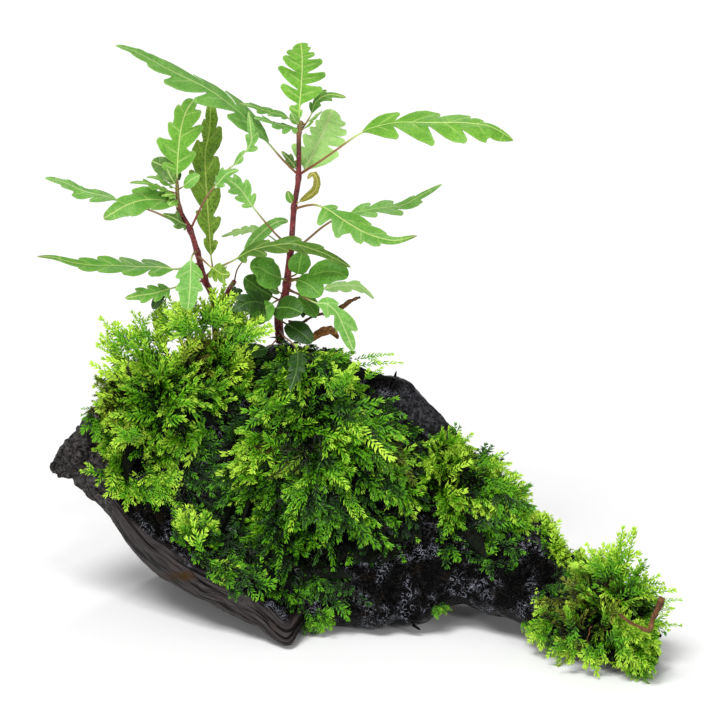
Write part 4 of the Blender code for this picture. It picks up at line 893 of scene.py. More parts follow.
def edge_rows(corners, length, half_width):
    """Rows across half a blade: place in lobes, place on the midrib, and place and reach at the edge."""
    size = np.array((length, half_width))
    ends = [np.array(corner) * size for corner in corners]
    here, anchor = np.array((0.0, BASE_REACH * half_width)), 0.0
    places, edges, anchors = [], [], []
    for k in range(0, len(ends) - 1, 2):
        tip, notch = ends[k], ends[k + 1]
        way = unit(tip - (here + notch) / 2)
        back = np.array((-way[1], way[0]))
        round_tip = min(1.5, 0.4 * np.linalg.norm(tip - notch), 0.26 * np.linalg.norm(tip - here))
        lower, upper = (tip + round_tip * (turn * back - way) for turn in (1, -1))
        sinus = np.array((min(0.7, 0.25 * max(lower[0] - here[0], 0.1)), 0))
        bulge = (0.1 + 0.16 * max(way[0], 0)) * np.linalg.norm(lower - here)
        outer = bezier((here, here + sinus, here + 0.62 * (lower - here) + sinus / 3 + bulge * back, lower),
                       np.linspace(0, 1, OUTER_STEPS))
        cap = bezier((lower, lower + 1.35 * round_tip * way, upper + 1.35 * round_tip * way, upper),
                     np.linspace(0, 1, TIP_STEPS + 2))[1:-1]
        inner = bezier((upper, 0.55 * upper + 0.45 * notch, notch + (0, 0.25 * (upper[1] - notch[1])), notch),
                       np.linspace(0, 1, INNER_STEPS))
        phase = np.concatenate([np.linspace(0, 0.44, OUTER_STEPS), np.linspace(0.46, 0.54, TIP_STEPS),
                                np.linspace(0.58, 1, INNER_STEPS)])
        root = max(notch[0] / length, anchor + 0.01)
        places.append(k / 2 + phase)
        edges.append(np.concatenate([outer, cap, inner]))
        anchors.append(anchor + (root - anchor) * np.interp(phase, (0, 0.5, 1), (0, 0.45, 1)))
        here, anchor = notch, root
    belly = corners[-1]
    start = here / size
    t = np.sin(np.linspace(0, math.pi / 2, END_STEPS))
    end = bezier((start, (start[0] + 0.3 * (belly[0] - start[0]), belly[1] * 1.12),
                  (belly[0] * 0.5 + 0.5, belly[1]), (1.0, 0.0)), t)
    if len(ends) == 1:
        end = bezier((start, (0.06, belly[1] * 1.05), (0.42, belly[1] * 1.5), (0.98, belly[1] * 0.95), (1.0, 0.0)), t)
        end[:, 1] *= 1 + 0.04 * np.sin(34 * end[:, 0])
    places.append(len(ends) // 2 + t * (4.5 if len(ends) == 1 else 1))
    edges.append(end * size)
    anchors.append(anchor + (1 - anchor) * t)
    edges = np.concatenate(edges) / size
    return np.concatenate(places), np.concatenate(anchors), edges[:, 0], np.maximum(edges[:, 1], 0.01)


def middle_frames(points, start, face, twist):
    """Centres and directions at even steps of length along a blade's middle line."""
    centres = np.array([curve_through(points, t) for t in np.linspace(start, 1, 160)])
    run = np.concatenate([[0], np.cumsum(np.linalg.norm(np.diff(centres, axis=0), axis=1))])
    shares = np.linspace(0, 1, FRAME_STEPS + 1)
    centres = np.stack([np.interp(shares, run / run[-1], centres[:, k]) for k in range(3)], axis=1)
    along = unit(np.gradient(centres, axis=0))
    upward = unit(face - along * (along @ face)[:, None])
    across = np.cross(along, upward)
    turn = (twist * shares)[:, None]
    across, upward = across * np.cos(turn) + upward * np.sin(turn), upward * np.cos(turn) - across * np.sin(turn)
    return shares, centres, along, upward, across, run[-1]


def half_blade(name, corners, side, frames, half_width, lobed, phase, settings):
    """One half of a blade, shaped from a grid between the midrib and the edge."""
    shares, centres, along, upward, across, length = frames
    lobe, anchors, edge, reach = edge_rows(corners, length / MM, half_width)
    bpy.ops.object.select_all(action="DESELECT")
    bpy.ops.mesh.primitive_grid_add(x_subdivisions=HALF_COLUMNS, y_subdivisions=len(lobe) - 1, size=2)
    piece = bpy.context.active_object
    piece.name = name
    mesh = piece.data
    grid = vertex_places(mesh)
    row = np.rint((grid[:, 1] + 1) / 2 * (len(lobe) - 1)).astype(int)
    out = (grid[:, 0] + 1) / 2
    share = anchors[row] + (edge[row] - anchors[row]) * out
    apart = reach[row] * out * half_width

    def at(table):
        return np.stack([np.interp(share, shares, table[:, k]) for k in range(3)], axis=1)

    far = apart / half_width
    ripple = settings.ripple / MM * (1 if lobed else PLAIN_RIPPLE) * half_width / FULL_RIPPLE
    lift = settings.fold * apart - settings.droop * far**2 * half_width
    lift += ripple * np.sin(2 * math.pi * lobe[row] + phase + side) * far**1.5
    lift += ripple * 1.2 * np.sin(6 * share + phase) * (0.3 + far) + ripple * 0.5 * np.sin(19 * share + phase) * far
    beyond = np.maximum(share - 1, 0)[:, None] * length
    aside = at(across) * (side * apart)[:, None] + at(upward) * lift[:, None]
    places = at(centres) + at(along) * beyond + aside * MM
    mesh.vertices.foreach_set("co", places.ravel())
    if side < 0:
        mesh.flip_normals()
    layer = mesh.uv_layers.active
    layer.name = "blade"
    corner = np.empty(len(mesh.loops), int)
    mesh.loops.foreach_get("vertex_index", corner)
    layer.uv.foreach_set("vector", np.stack([lobe[row], side * apart], axis=1)[corner].astype(np.float32).ravel())
    point_values(mesh, "rim", np.exp(-(1 - out) * np.maximum(reach[row] * half_width, 0.3) / 0.5))
    point_values(mesh, "along", share)
    return piece


def leaf_edges(name, lobes, cut, rng):
    """The left and the right edge of a blade."""
    if name in EDGES:
        return [np.array(side).reshape(-1, 2) / 100 for side in EDGES[name]]
    return [common_edge(lobes, cut, side, rng) for side in (-1, 1)]


def leaf_blade(name, row, rng, settings):
    """A thin lobed blade along its middle line."""
    _, stalk, half_width, lobes, cut, face, line = row
    points = np.array([list(seen(*place)) for place in line])
    start = stalk / (len(points) - 1)
    frames = middle_frames(points, start, unit(np.array(face, float)), TWIST.get(name, 0))
    edges = leaf_edges(name, lobes, cut, rng)
    phase = rng.uniform(0, 6)
    halves = [
        half_blade(name + "_half", corners, side, frames, half_width, lobes > 0, phase, settings)
        for side, corners in zip((-1, 1), edges)
    ]
    piece = joined(name + "_blade", halves)
    with_modifier(piece, "SOLIDIFY", thickness=settings.thickness, offset=0, material_offset=1)
    return piece, points, start


def leaf(name, row, materials, rng, settings):
    """A whole leaf with its stalk and midrib."""
    piece, points, start = leaf_blade(name, row, rng, settings)
    kind, _, half_width = row[:3]
    end = start + (1 - start) * MIDRIB_END
    middle = [curve_through(points, end * k / STALK_STEPS) for k in range(STALK_STEPS + 1)]
    thick = min(STALK_RADIUS, 0.22 + half_width * 0.06)
    stalk_end = start / end * STALK_STEPS
    places = (0, stalk_end * 0.9, stalk_end + 2, STALK_STEPS)
    radii = np.interp(range(STALK_STEPS + 1), places, (1, 0.75, 0.5, 0.14)) * thick * MM
    stalk = tube(name + "_stalk", middle, radii, sides=1, steps=3)
    for part in (piece, stalk):
        part.data.materials.clear()
        for material in materials[kind]:
            part.data.materials.append(material)
    for face in stalk.data.polygons:
        face.material_index = 2
    share = np.array([v.value for v in stalk.data.attributes["along"].data]) * end
    on_blade = (share - start) / (1 - start)
    point_values(stalk.data, "along", np.where(on_blade > 0, on_blade, on_blade * (1 - start) / max(start, 0.05)))
    piece = joined(name + "_grown", [piece, stalk])
    point_values(piece.data, "tone", np.full(len(piece.data.vertices), rng.random()))
    shade(piece, 50)
    return piece


class LeafSettings(bpy.types.PropertyGroup):
    thickness: FloatProperty(name="Thickness", description="Thickness of a blade", default=0.00035, unit="LENGTH")
    fold: FloatProperty(name="Fold", description="How far both halves rise", default=0.14)
    droop: FloatProperty(name="Droop", description="How far the lobes hang, per half width", default=0.2)
    ripple: FloatProperty(name="Ripple", description="Waves in a wide blade", default=0.0008, unit="LENGTH")


def leaf_finish(kind):
    """The upper side, the underside and the midrib of one kind of leaf."""
    blade, dark, vein, under = (screen(*colour) for colour in LEAF_COLOURS[kind])
    materials = []
    for side, base in (("upper", blade), ("under", under)):
        paint = Paint(f"leaf_{kind}_{side}")
        lobe, apart = paint.split(paint.node("ShaderNodeUVMap", {"uv_map": "blade"}))
        place = paint.object_place()
        blotch = paint.grain(place, 160, 3, 0.6)
        fine = paint.grain(place, 1300, 2, 0.6)
        far = abs(apart)
        lower = dark if side == "upper" else blade
        colour = paint.colours(paint.mask(blotch, 0.35, 0.7) * 0.45 + paint.stored("tone") * 0.25, base, lower)
        colour = paint.colours(paint.mask(fine, 0.42, 0.62) * 0.55, colour, lower)
        to_vein = abs(paint.maths("FRACT", lobe) - 0.5)
        side_vein = paint.mask(to_vein, 0.04, 0.01) * paint.mask(far, 8, 1) * 0.4
        if kind == "round":
            side_vein = side_vein + paint.mask(paint.cells(place, 900, "DISTANCE_TO_EDGE"), 0.12, 0.03) * 0.35
        if kind == "speckled":
            spots = paint.mask(paint.cells(place, 1100), 0.4, 0.22) * paint.mask(blotch, 0.3, 0.55) * 0.8
            colour = paint.colours(spots, colour, screen(*SPECKLES))
        colour = paint.colours(side_vein, colour, vein)
        colour = paint.colours(paint.mask(far, 0.42, 0.15) * 0.85, colour, vein)
        pale_rim = tuple(0.5 * a + 0.5 * b for a, b in zip(base, vein))
        colour = paint.colours(paint.stored("rim") * 0.35, colour, pale_rim)
        if kind in ("fresh", "dying"):
            burnt = paint.mask(paint.stored("along") + blotch * 0.25, 1.0, 1.16)
            colour = paint.colours(burnt * (0.7 if kind == "dying" else 0.45), colour, screen(*BURNT_TIP))
        sunk = paint.raised(paint.mask(to_vein, 0.0, 0.14) * 0.6 + fine * 0.4, 0.0003, 0.5)
        normal = paint.raised(blotch, 0.0008, 0.5, sunk)
        materials.append(paint.finish(colour, 0.42 if side == "upper" else 0.6, normal, Specular_IOR_Level=0.2))
    paint = Paint(f"leaf_{kind}_midrib")
    along = paint.stored("along")
    fine = paint.grain(paint.object_place(), 900, 3, 0.6)
    lower, upper = (screen(*colour) for colour in STALK_COLOURS)
    colour = paint.colours(paint.mask(along + fine * 0.2, -0.85, -0.3), lower, upper)
    colour = paint.colours(paint.mask(along + fine * 0.15, -0.2, 0.2), colour, vein)
    materials.append(paint.finish(colour, 0.45))
    return materials


def build_leaves(settings):
    rng = random.Random(7)
    materials = {kind: leaf_finish(kind) for kind in LEAF_COLOURS}
    for name, row in LEAVES.items():
        piece = leaf(name, row, materials, rng, settings)
        small = [leaf(name + "_small", extra, materials, rng, settings) for extra in SMALL_LEAVES.get(name, ())]
        piece = joined(name + "_grown", [piece, *small])
        settle(piece, LEAF_SLOTS[row[0]], name)


class PLANT_OT_leaves(bpy.types.Operator):
    """Grow every leaf on its stalk"""

    bl_idname = "plant.leaves"
    bl_label = "Leaves"

    def execute(self, context):
        build_leaves(context.scene.plant_leaves)
        return {"FINISHED"}


class StemSettings(bpy.types.PropertyGroup):
    hairs: IntProperty(name="Hairs", description="Fine hairs on each centimetre of stem", default=60, min=0)
    joint_swelling: FloatProperty(name="Joint swelling", description="How much thicker joints are", default=0.3)


def stem_finish():
    """Maroon skin with pale specks, greener towards the top."""
    paint = Paint("stem_skin")
    place = paint.object_place()
    along = paint.stored("along")
    fine = paint.grain(place, 1500, 3, 0.6)
    patch = paint.grain(place, 260, 3, 0.6)
    red, light, speck, green, _ = (screen(*colour) for colour in STEM_COLOURS.values())
    colour = paint.colours(paint.mask(patch, 0.35, 0.65), red, light)
    colour = paint.colours(paint.mask(fine, 0.6, 0.72) * 0.6, colour, speck)
    colour = paint.colours(paint.mask(along, 0.8, 1.0) * 0.75, colour, green)
    return paint.finish(colour, 0.42, paint.raised(fine, 0.0003, 0.6), Specular_IOR_Level=0.25)


def hairs_on(name, points, radii, per_length, rng):
    """Fine hairs standing on a stem, each one narrow triangle."""
    corners, faces = [], []
    length = sum((points[k + 1] - points[k]).length for k in range(len(points) - 1))
    for _ in range(int(length * 100 * per_length)):
        k = rng.randrange(len(points) - 1)
        f = rng.random()
        centre = points[k].lerp(points[k + 1], f)
        along = (points[k + 1] - points[k]).normalized()
        angle = rng.uniform(0, 2 * math.pi)
        across = along.orthogonal().normalized()
        out = across * math.cos(angle) + along.cross(across) * math.sin(angle)
        radius = radii[k] * (1 - f) + radii[k + 1] * f
        root = centre + out * radius * 0.95
        tip = root + (out + along * rng.uniform(-0.5, 0.5)) * rng.uniform(*HAIR_LENGTHS) * MM
        wide = along.cross(out) * HAIR_HALF_WIDTH * MM
        corners += [root - wide, root + wide, tip]
        faces.append((len(corners) - 3, len(corners) - 2, len(corners) - 1))
    mesh = bpy.data.meshes.new(name)
    mesh.from_pydata(corners, [], faces)
    return new_piece(name, mesh)


def build_stems(settings):
    rng = random.Random(3)
    skin = stem_finish()
    hair = Paint("stem_hair").finish(screen(*STEM_COLOURS["hair"]), 0.6)
    for name, (rows, joints) in STEMS.items():
        points = [seen(*row[:3]) for row in rows]
        points[0].z = min(v.co.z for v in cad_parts[name].data.vertices) - ROOTED * MM
        fine = 8 * (len(points) - 1)
        axis = np.array([list(p) for p in points])
        line = [Vector(curve_through(axis, k / fine)) for k in range(fine + 1)]
        shares = np.linspace(0, 1, fine + 1), np.linspace(0, 1, len(rows))
        rises, radii = (np.interp(*shares, [row[k] for row in rows]) for k in (1, 3))
        for joint in joints:
            radii = radii * (1 + settings.joint_swelling * np.exp(-(((rises - joint) / JOINT_REACH) ** 2)))
        radii = radii * MM
        bark = tube(name + "_bark", line, radii, sides=4, steps=2)
        hairs = hairs_on(name + "_hairs", line, radii, settings.hairs, rng)
        for index, part in enumerate((bark, hairs)):
            part.data.materials.append(skin)
            part.data.materials.append(hair)
            part.data.polygons.foreach_set("material_index", np.full(len(part.data.polygons), index))
        piece = joined(name + "_grown", [bark, hairs])
        shade(piece, 60)
        settle(piece, "stem_red", name)


class PLANT_OT_stems(bpy.types.Operator):
    """Grow the red stems with their fine hairs"""

    bl_idname = "plant.stems"
    bl_label = "Stems"

    def execute(self, context):
        build_stems(context.scene.plant_stems)
        return {"FINISHED"}


# Dry pieces

DRY_STICKS = {  # middle line as (side, rise, depth, radius)
    "brown_twig": (
        (120.8, 29.6, -62, 1.5), (119, 25, -63.4, 1.5), (116.8, 20.8, -64.5, 1.2), (115.6, 16.4, -65, 1.0),
        (110.8, 18.2, -65.5, 0.8), (106, 20.8, -65, 0.7), (101.6, 24.4, -63, 0.4)),
    "dry_leaf_stalk": (
        (-28.4, 139.6, 62.5, 0.5), (-23.2, 139.2, 64, 0.6), (-16.8, 142.2, 66, 0.8), (-12, 143, 66.5, 0.5),
        (-6.4, 145.6, 67, 1.2), (-3, 148, 67.5, 1.0), (0.4, 149.2, 68, 0.3)),
}


class DrySettings(bpy.types.PropertyGroup):
    roughness: FloatProperty(name="Wrinkles", description="Depth of the wrinkles", default=0.0005, unit="LENGTH")


def dry_finish(name, dark, middle, pale):
    """Matte brown with darker streaks and pale frayed spots, from three colours on a screen."""
    paint = Paint(name)
    place = paint.object_place()
    patch = paint.grain(place, 200, 3, 0.6)
    fine = paint.grain(place, 1100, 3, 0.6)
    colour = paint.colours(paint.mask(patch, 0.35, 0.65), screen(*dark), screen(*middle))
    colour = paint.colours(paint.mask(fine, 0.5, 0.7) * 0.6, colour, screen(*pale))
    colour = paint.colours(paint.mask(fine, 0.45, 0.3) * 0.6, colour, screen(*(0.6 * c for c in dark)))
    return paint.finish(colour, 0.7, paint.raised(fine, 0.0004, 0.8), Specular_IOR_Level=0.2)


def build_dry(settings):
    bark = dry_finish("dry_brown_skin", (58, 36, 22), (112, 76, 44), (150, 112, 68))
    withered = dry_finish("dead_leaf_skin", (104, 62, 30), (176, 118, 62), (212, 170, 110))
    for name in (*DRY_STICKS, "dead_leaf_on_crest"):
        if name in DRY_STICKS:
            rows = DRY_STICKS[name]
            piece = tube(name + "_grown", [seen(*row[:3]) for row in rows], [row[3] * MM for row in rows])
        else:
            piece = new_piece(name + "_grown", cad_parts[name].data.copy())
        weld(piece)
        with_modifier(piece, "SUBSURF", levels=2, render_levels=2, subdivision_type="SIMPLE")
        mesh = piece.data
        moved = [
            v.co + v.normal * (noise.noise(v.co / (2.2 * MM)) + 0.5 * noise.noise(v.co / (0.9 * MM)) - 0.2)
            * settings.roughness
            for v in mesh.vertices
        ]
        move_corners(mesh, moved)
        mesh.materials.append(bark if name in DRY_STICKS else withered)
        shade(piece, 70)
        settle(piece, "dry_brown", name)


class PLANT_OT_dry(bpy.types.Operator):
    """Wrinkle the dry stalk, the dead leaf and the brown twig"""

    bl_idname = "plant.dry"
    bl_label = "Dry pieces"

    def execute(self, context):
        build_dry(context.scene.plant_dry)
        return {"FINISHED"}


# Moss

# Each clump: the way its shoots lean, how far they spread from its middle, the shortest and longest
# shoot in millimetres, how many shoots, how bright they are, and how much brighter they get outwards.
# The last column paints light: shoots at a clump's outline get lighter and those in its middle darker, as painted
# light and painted shade.
MOSS = {
    "moss_heap_left": ((-0.25, -0.35, 0.35), 0.6, 14, 26, 400, 0.38, 0.4),
    "moss_bank_middle": ((0.05, -0.4, -0.35), 0.5, 14, 26, 400, 0.12, 0.0),
    "moss_bank_right": ((0.3, -0.4, 0.05), 0.5, 13, 24, 250, 0.2, 0.2),
    "moss_tuft_low_left": ((0.1, -0.2, 0.4), 0.5, 8, 14, 60, 0.15, 0.0),
    "moss_strip_arm_edge": ((0.2, -0.2, 0.5), 0.5, 6, 11, 110, 0.6, 0.2),
    "moss_tuft_arm_end": ((0.1, -0.25, 0.3), 0.85, 10, 18, 190, 0.2, 1.2),
}
# Long shoots that stand out: root and tip as (side, rise, depth), and their width as a share.
SPRIGS = {
    "moss_bank_middle": (
        ((-2, 124, 39), (13.2, 128.8, 40), 0.75), ((-2, 121.5, 38), (17, 125, 41), 0.7),
        ((2, 116, 34), (9.5, 119.6, 36), 0.75), ((-8, 112, 22), (-4, 122, 32), 1.0),
    ),
    "moss_heap_left": (
        ((-92, 122, 42), (-104, 131, 42), 1.0), ((-90, 128, 43), (-99.6, 138, 45), 1.0),
        ((-84, 130, 43), (-90, 141, 46), 1.0), ((-76, 133, 44), (-80, 145, 46), 1.0),
        ((-70, 134, 42), (-74, 147, 44), 1.2), ((-64, 136, 42), (-66, 150, 45), 1.2),
        ((-61, 137, 40), (-52, 149, 42), 1.2), ((-57, 138, 44), (-59, 152, 47), 1.2),
        ((-53, 135, 42), (-43, 144, 43), 1.2), ((-50, 131, 36), (-38, 138, 35), 1.2),
        ((-66, 133, 36), (-72, 145, 34), 1.2), ((-48, 135, 48), (-50, 147, 50), 1.2),
        ((-92, 110, 36), (-106, 112, 38), 0.9), ((-88, 92, 18), (-101, 97, 20), 1.0),
    ),
    "moss_bank_right": (((48, 84, 20), (60, 80, 18), 0.9), ((52, 72, 12), (67, 68, 9), 0.9)),
    "moss_tuft_low_left": (((-61, 42, -4), (-70, 61, 2), 0.85), ((-60, 42, -5), (-49, 36.5, -8), 0.9)),
    "moss_strip_arm_edge": (((72, 52, 6), (78, 57, 8), 1.0),),
    "moss_tuft_arm_end": (
        ((102, 36, -36), (106.4, 53.6, -34), 0.9), ((96, 34, -32), (94.8, 48, -28), 1.2),
        ((106, 30, -42), (121.4, 38, -34), 1.0), ((114, 26, -38), (129.2, 31.6, -36), 0.85),
        ((112, 20, -44), (129, 16.8, -44), 0.75), ((90, 30, -30), (86, 42, -24), 1.2),
        ((100, 12, -57), (113, 4.6, -56), 1.2), ((103, 10, -57), (109, 19, -58), 1.2),
        ((88, 14, -50), (84, 4, -50), 1.0), ((94, 10, -54), (92, 1.5, -54), 1.0),
        ((76, 16, -34), (69, 13.4, -31), 1.2), ((84, 12, -42), (78, 8, -38), 1.2),
        ((98, 21, -50), (102, 23, -63), 1.1), ((103, 18, -50), (107.5, 19, -63), 1.1),
        ((108, 15, -50), (113, 15.5, -63.5), 1.1), ((112, 14, -48), (118, 17, -62), 1.0),
    ),
}
# Where the moss has gone brown, as (side, rise, reach) in millimetres. These places are also darkened,
# partly as the dead moss's own darker colour and partly as painted shade in the tuft's middle and the heap's low gap.
BROWN_SPOTS = ((-98, 107, 9), (-68, 121, 5), (-25, 88, 5), (86, 26, 6), (98, 25, 6), (90, 14, 4), (10, 92, 5))
RUNNERS = {  # brown creeping stems: how many, and the middle and reach of the place where they lie
    "moss_heap_left": (24, (-98, 106, 34), 9),
    "moss_tuft_arm_end": (44, (98, 22, -57), 10),
}
BRIGHT_MOSS = ("moss_heap_left", "moss_tuft_arm_end", "moss_strip_arm_edge")
# More shoots on the wood itself: the middle and reach in side and rise of the place where they grow, their
# heading in the picture in degrees from the right, their length, how many and how bright they are.
PATCHES = {
    "moss_heap_left": (
        ((-91, 86, 11, 14), -130, 12, 70, 0.6), ((-84, 74, 7, 8), -70, 11, 36, 0.5),
        ((-72, 88, 12, 12), -60, 12, 60, 0.0), ((-100, 101, 7, 6), -150, 9, 22, 0.25),
    ),
    "moss_tuft_low_left": (
        ((-54, 66, 22, 26), -60, 14, 190, -0.25), ((-60, 60, 14, 18), -40, 13, 40, 0.05),
        ((-50, 38, 9, 6), -30, 10, 30, 0.15),
    ),
    "moss_bank_middle": (
        ((-24, 116, 12, 17), -80, 13, 110, 0.0), ((8, 119, 4, 2), 60, 5, 10, 0.4),
        ((-20, 34, 20, 6), -90, 10, 50, 0.0), ((-18, 22, 4, 3), -70, 8, 16, 0.45),
    ),
    "moss_bank_right": (((34, 80, 14, 12), -40, 11, 60, 0.05), ((44, 54, 14, 8), -50, 10, 34, 0.15)),
    "moss_strip_arm_edge": (
        ((81, 33, 9, 7), -20, 8, 60, -0.05), ((68, 17.5, 7, 3), -120, 8, 50, 0.5),
        ((76, 12, 6, 4), -110, 8, 30, 0.4), ((37, 25.5, 9, 2), -100, 6, 18, 0.3),
        ((60, 46, 8, 8), -60, 8, 16, 0.0),
    ),
}
MOSS_SEED = 11
LEAF_LENGTH, LEAF_SPACING, STALK_HALF = 2.8, 1.4, 0.13  # of the moss's own small leaves, in millimetres
LEAF_SHARE_WIDE = 0.3  # the width of such a leaf as a share of its length
LIP_EDGE = ((-90, 66), (-83.6, 58), (-69.6, 45.6), (-57.6, 32), (-43.6, 23.2), (-28, 12))  # as (side, rise)
LIP_CLEAR = 2.0  # how far the moss stays above the lip's inner edge in the picture, in millimetres
SPRIG_CLEAR = 2.6 * MM  # how far the other shoots stay from the long ones
GROUND_CLEAR = 0.6 * MM  # how far roots and tips stay above the ground
LOWEST = 0.1 * MM  # the lowest corner of any shoot
SHAPE_LENGTHS = (8, 12, 17)  # lengths in millimetres of the shoots that are shaped singly
SHAPE_LIMITS = (10, 14.5)  # lengths in millimetres from which the next of these is used
SHAPES_EACH = 5
FULLNESS = 1.15  # shoots on a clump's faces, as a share of its number
PEAK_SHARE = 0.6  # the share of a clump's corners that carry a shoot
FLUSH = 0.9 * MM  # faces of a clump nearer than this to the wood carry no shoot
DEEP_SHARE = 0.4  # the share of the shoots that end deep inside
DEEP_LAYER, TOP_LAYER = (0.25, 0.65), (0.85, 1.0)  # where a shoot ends, as shares of the clump's height
GAP_SIZE, TUFT_SIZE = 8 * MM, 11 * MM
GAP_LEVEL = 0.0  # the share of dark gaps grows with it
# Painted shade: shoots at the surface are darker where the gap noise is low, standing for the shade between tufts.
DARKEST_GAP = -0.35  # how much darker the shoots at a clump's surface get in its gaps
# The darkening with depth below the clump's surface is painted shade, for the shade inside the clump.
DARKER_DEEP, DARKEST_DEEP = 0.2, 1.2  # how much darker a shoot is for each millimetre inside, and at most
LEAST_RISE = 0.18  # how steeply the flattest shoot leaves the clump
FLAT_BEND = 0.05  # a shoot bends at least this much
LONG_SHOOT = 0.9  # long shoots from this width on stand in bunches
BUNCH, BUNCH_REACH = 5, 2 * MM
SUNK = -0.1  # how deep the dark inside lies below the wood near the long shoots, as a share of its height
# The shadow colour is painted shade, and the inside colours are partly painted shade.
MOSS_COLOURS = {
    "shadow": (3, 8, 2), "deep": (22, 62, 2), "green": (88, 156, 6), "tip": (184, 222, 66), "stalk": (30, 26, 8),
    "dead": (24, 14, 6), "dead_tip": (116, 84, 28), "inside": (3, 5, 2), "inside_pale": (12, 20, 5),
    "runner": (46, 28, 14), "runner_pale": (112, 80, 40),
}


class MossSettings(bpy.types.PropertyGroup):
    density: FloatProperty(name="Density", description="Share of the full number of shoots", default=1.0, min=0.1)
    core_height: FloatProperty(name="Core height", description="Height of the dark inside, as a share", default=0.15)


def shoot_shape(rng, length_mm, side_shoots):
    """A shoot, one unit long, with pointed leaves on both sides: corners, triangles, nearness to a tip."""
    leaf = LEAF_LENGTH / length_mm
    spacing = LEAF_SPACING / length_mm
    corners, faces, tips = [], [], []

    def kite(root, way, length, near):
        """One pointed leaf, folded a little along its middle."""
        start = len(corners)
        way = way / np.linalg.norm(way)
        side = unit(np.cross(way, (0.0, 0.0, 1.0))) * length * LEAF_SHARE_WIDE / 2
        middle = root + way * length * 0.42
        raised = np.array([0, 0, 0.1 * length])
        corners.extend((root, middle + side + raised, root + way * length - raised, middle - side + raised))
        faces.extend(((start, start + 1, start + 2), (start, start + 2, start + 3)))
        tips.extend((near * 0.6, near * 0.85, min(1.0, near + 0.3), near * 0.85))

    def frond(root, angle, length, low):
        """A stalk with its two rows of leaves and a few on top."""
        count = max(3, round(length / spacing))
        turned = rng.uniform(-0.45, 0.45)
        place = np.array(root, float)
        stalk = [place.copy()]
        for k in range(count):
            t = (k + 1) / count
            heading = angle + turned * t
            ahead = np.array([math.sin(heading), math.cos(heading), 0.0])
            near = low + (1 - low) * t
            grown = leaf * (1.0 - 0.35 * t ** 3) * min(1.0, 0.6 + 2 * t)
            for side in (-1, 1):
                foot = place + ahead * spacing * (0.5 + 0.25 * side + rng.uniform(-0.15, 0.15))
                turn = heading + side * math.radians(rng.uniform(34, 58) - 16 * t)
                way = np.array([math.sin(turn), math.cos(turn), rng.normal(0.08, 0.2)])
                kite(foot, way, grown * rng.uniform(0.75, 1.15), near)
            if rng.random() < 0.6:
                turn = heading + math.radians(rng.uniform(-40, 40))
                kite(place, np.array([math.sin(turn), math.cos(turn), rng.uniform(0.4, 0.9)]), grown * 0.8, near)
            place = place + ahead * spacing
            stalk.append(place.copy())
        for lean in (-24, 0, 24):
            turn = heading + math.radians(lean + rng.uniform(-8, 8))
            kite(place - ahead * spacing * 0.4, np.array([math.sin(turn), math.cos(turn), 0.1]), leaf * 0.7, 1.0)
        across = np.array([ahead[1], -ahead[0], 0.0]) * STALK_HALF / length_mm
        start = len(corners)
        for k, share in enumerate((0, 0.5, 1)):
            middle = stalk[round(share * count)]
            corners.extend((middle - across, middle + across))
            tips.extend([low + (1 - low) * 0.3 * k] * 2)
        for k in (start, start + 2):
            faces.extend(((k, k + 1, k + 3), (k, k + 3, k + 2)))
        return stalk, turned

    stalk, turned = frond((0.0, 0.0, 0.0), 0.0, 1.0, 0.0)
    side = rng.choice((-1, 1))
    for k in range(side_shoots):
        share = 0.12 + 0.5 * (k + rng.uniform(0.1, 0.7)) / side_shoots
        angle = turned * share + side * math.radians(rng.uniform(30, 52))
        frond(stalk[round(share * (len(stalk) - 1))], angle, (1 - share) * rng.uniform(0.5, 0.75), share * 0.7)
        side = -side
    return np.array(corners, float), np.array(faces), np.array(tips)


def shoots_mesh(name, shapes, roots, ways, faces_out, lengths, bends, shades, brown, widths, variant):
    """All the shoots of a clump in one mesh. The arrays hold one row for each shoot, in metres."""
    low, high = (np.array(corner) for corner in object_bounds())
    low[2] = LOWEST
    across = unit(np.cross(ways, faces_out))
    upward = np.cross(across, ways)
    places, triangles, tips, tones, browns = [], [], [], [], []
    offset = 0
    for k, (corners, faces, tip) in enumerate(shapes):
        chosen = np.nonzero(variant == k)[0]
        if not len(chosen):
            continue
        bend = np.where(np.abs(bends[chosen]) < FLAT_BEND, FLAT_BEND, bends[chosen])[:, None]
        y = corners[None, :, 1]
        turned = bend * y
        ahead = np.sin(turned) / bend + np.sin(turned) * corners[None, :, 2]
        raised = -(1 - np.cos(turned)) / bend + np.cos(turned) * corners[None, :, 2]
        side = corners[None, :, 0] * widths[chosen][:, None]
        raised = raised - 0.35 * side**2
        local = (
            ahead[..., None] * ways[chosen][:, None]
            + raised[..., None] * upward[chosen][:, None]
            + side[..., None] * across[chosen][:, None]
        )
        world = roots[chosen][:, None] + local * lengths[chosen][:, None, None]
        count = len(corners)
        places.append(np.clip(world, low, high).reshape(-1, 3))
        step = offset + np.arange(len(chosen))[:, None, None] * count
        triangles.append((faces[None] + step).reshape(-1, 3))
        tips.append(np.tile(tip, len(chosen)))
        tones.append(np.repeat(shades[chosen], count))
        browns.append(np.repeat(brown[chosen], count))
        offset += count * len(chosen)
    values = {"tip": np.concatenate(tips), "tone": np.concatenate(tones), "brown": np.concatenate(browns)}
    return mesh_from_arrays(name, np.concatenate(places), np.concatenate(triangles), values)


def mesh_from_arrays(name, places, triangles, values):
    mesh = bpy.data.meshes.new(name)
    mesh.vertices.add(len(places))
    mesh.vertices.foreach_set("co", places.astype(np.float32).ravel())
    mesh.loops.add(triangles.size)
    mesh.loops.foreach_set("vertex_index", triangles.astype(np.int32).ravel())
    mesh.polygons.add(len(triangles))
    mesh.polygons.foreach_set("loop_start", np.arange(0, triangles.size, 3, dtype=np.int32))
    mesh.update(calc_edges=True)
    for key, numbers in values.items():
        point_values(mesh, key, numbers)
    return new_piece(name, mesh)


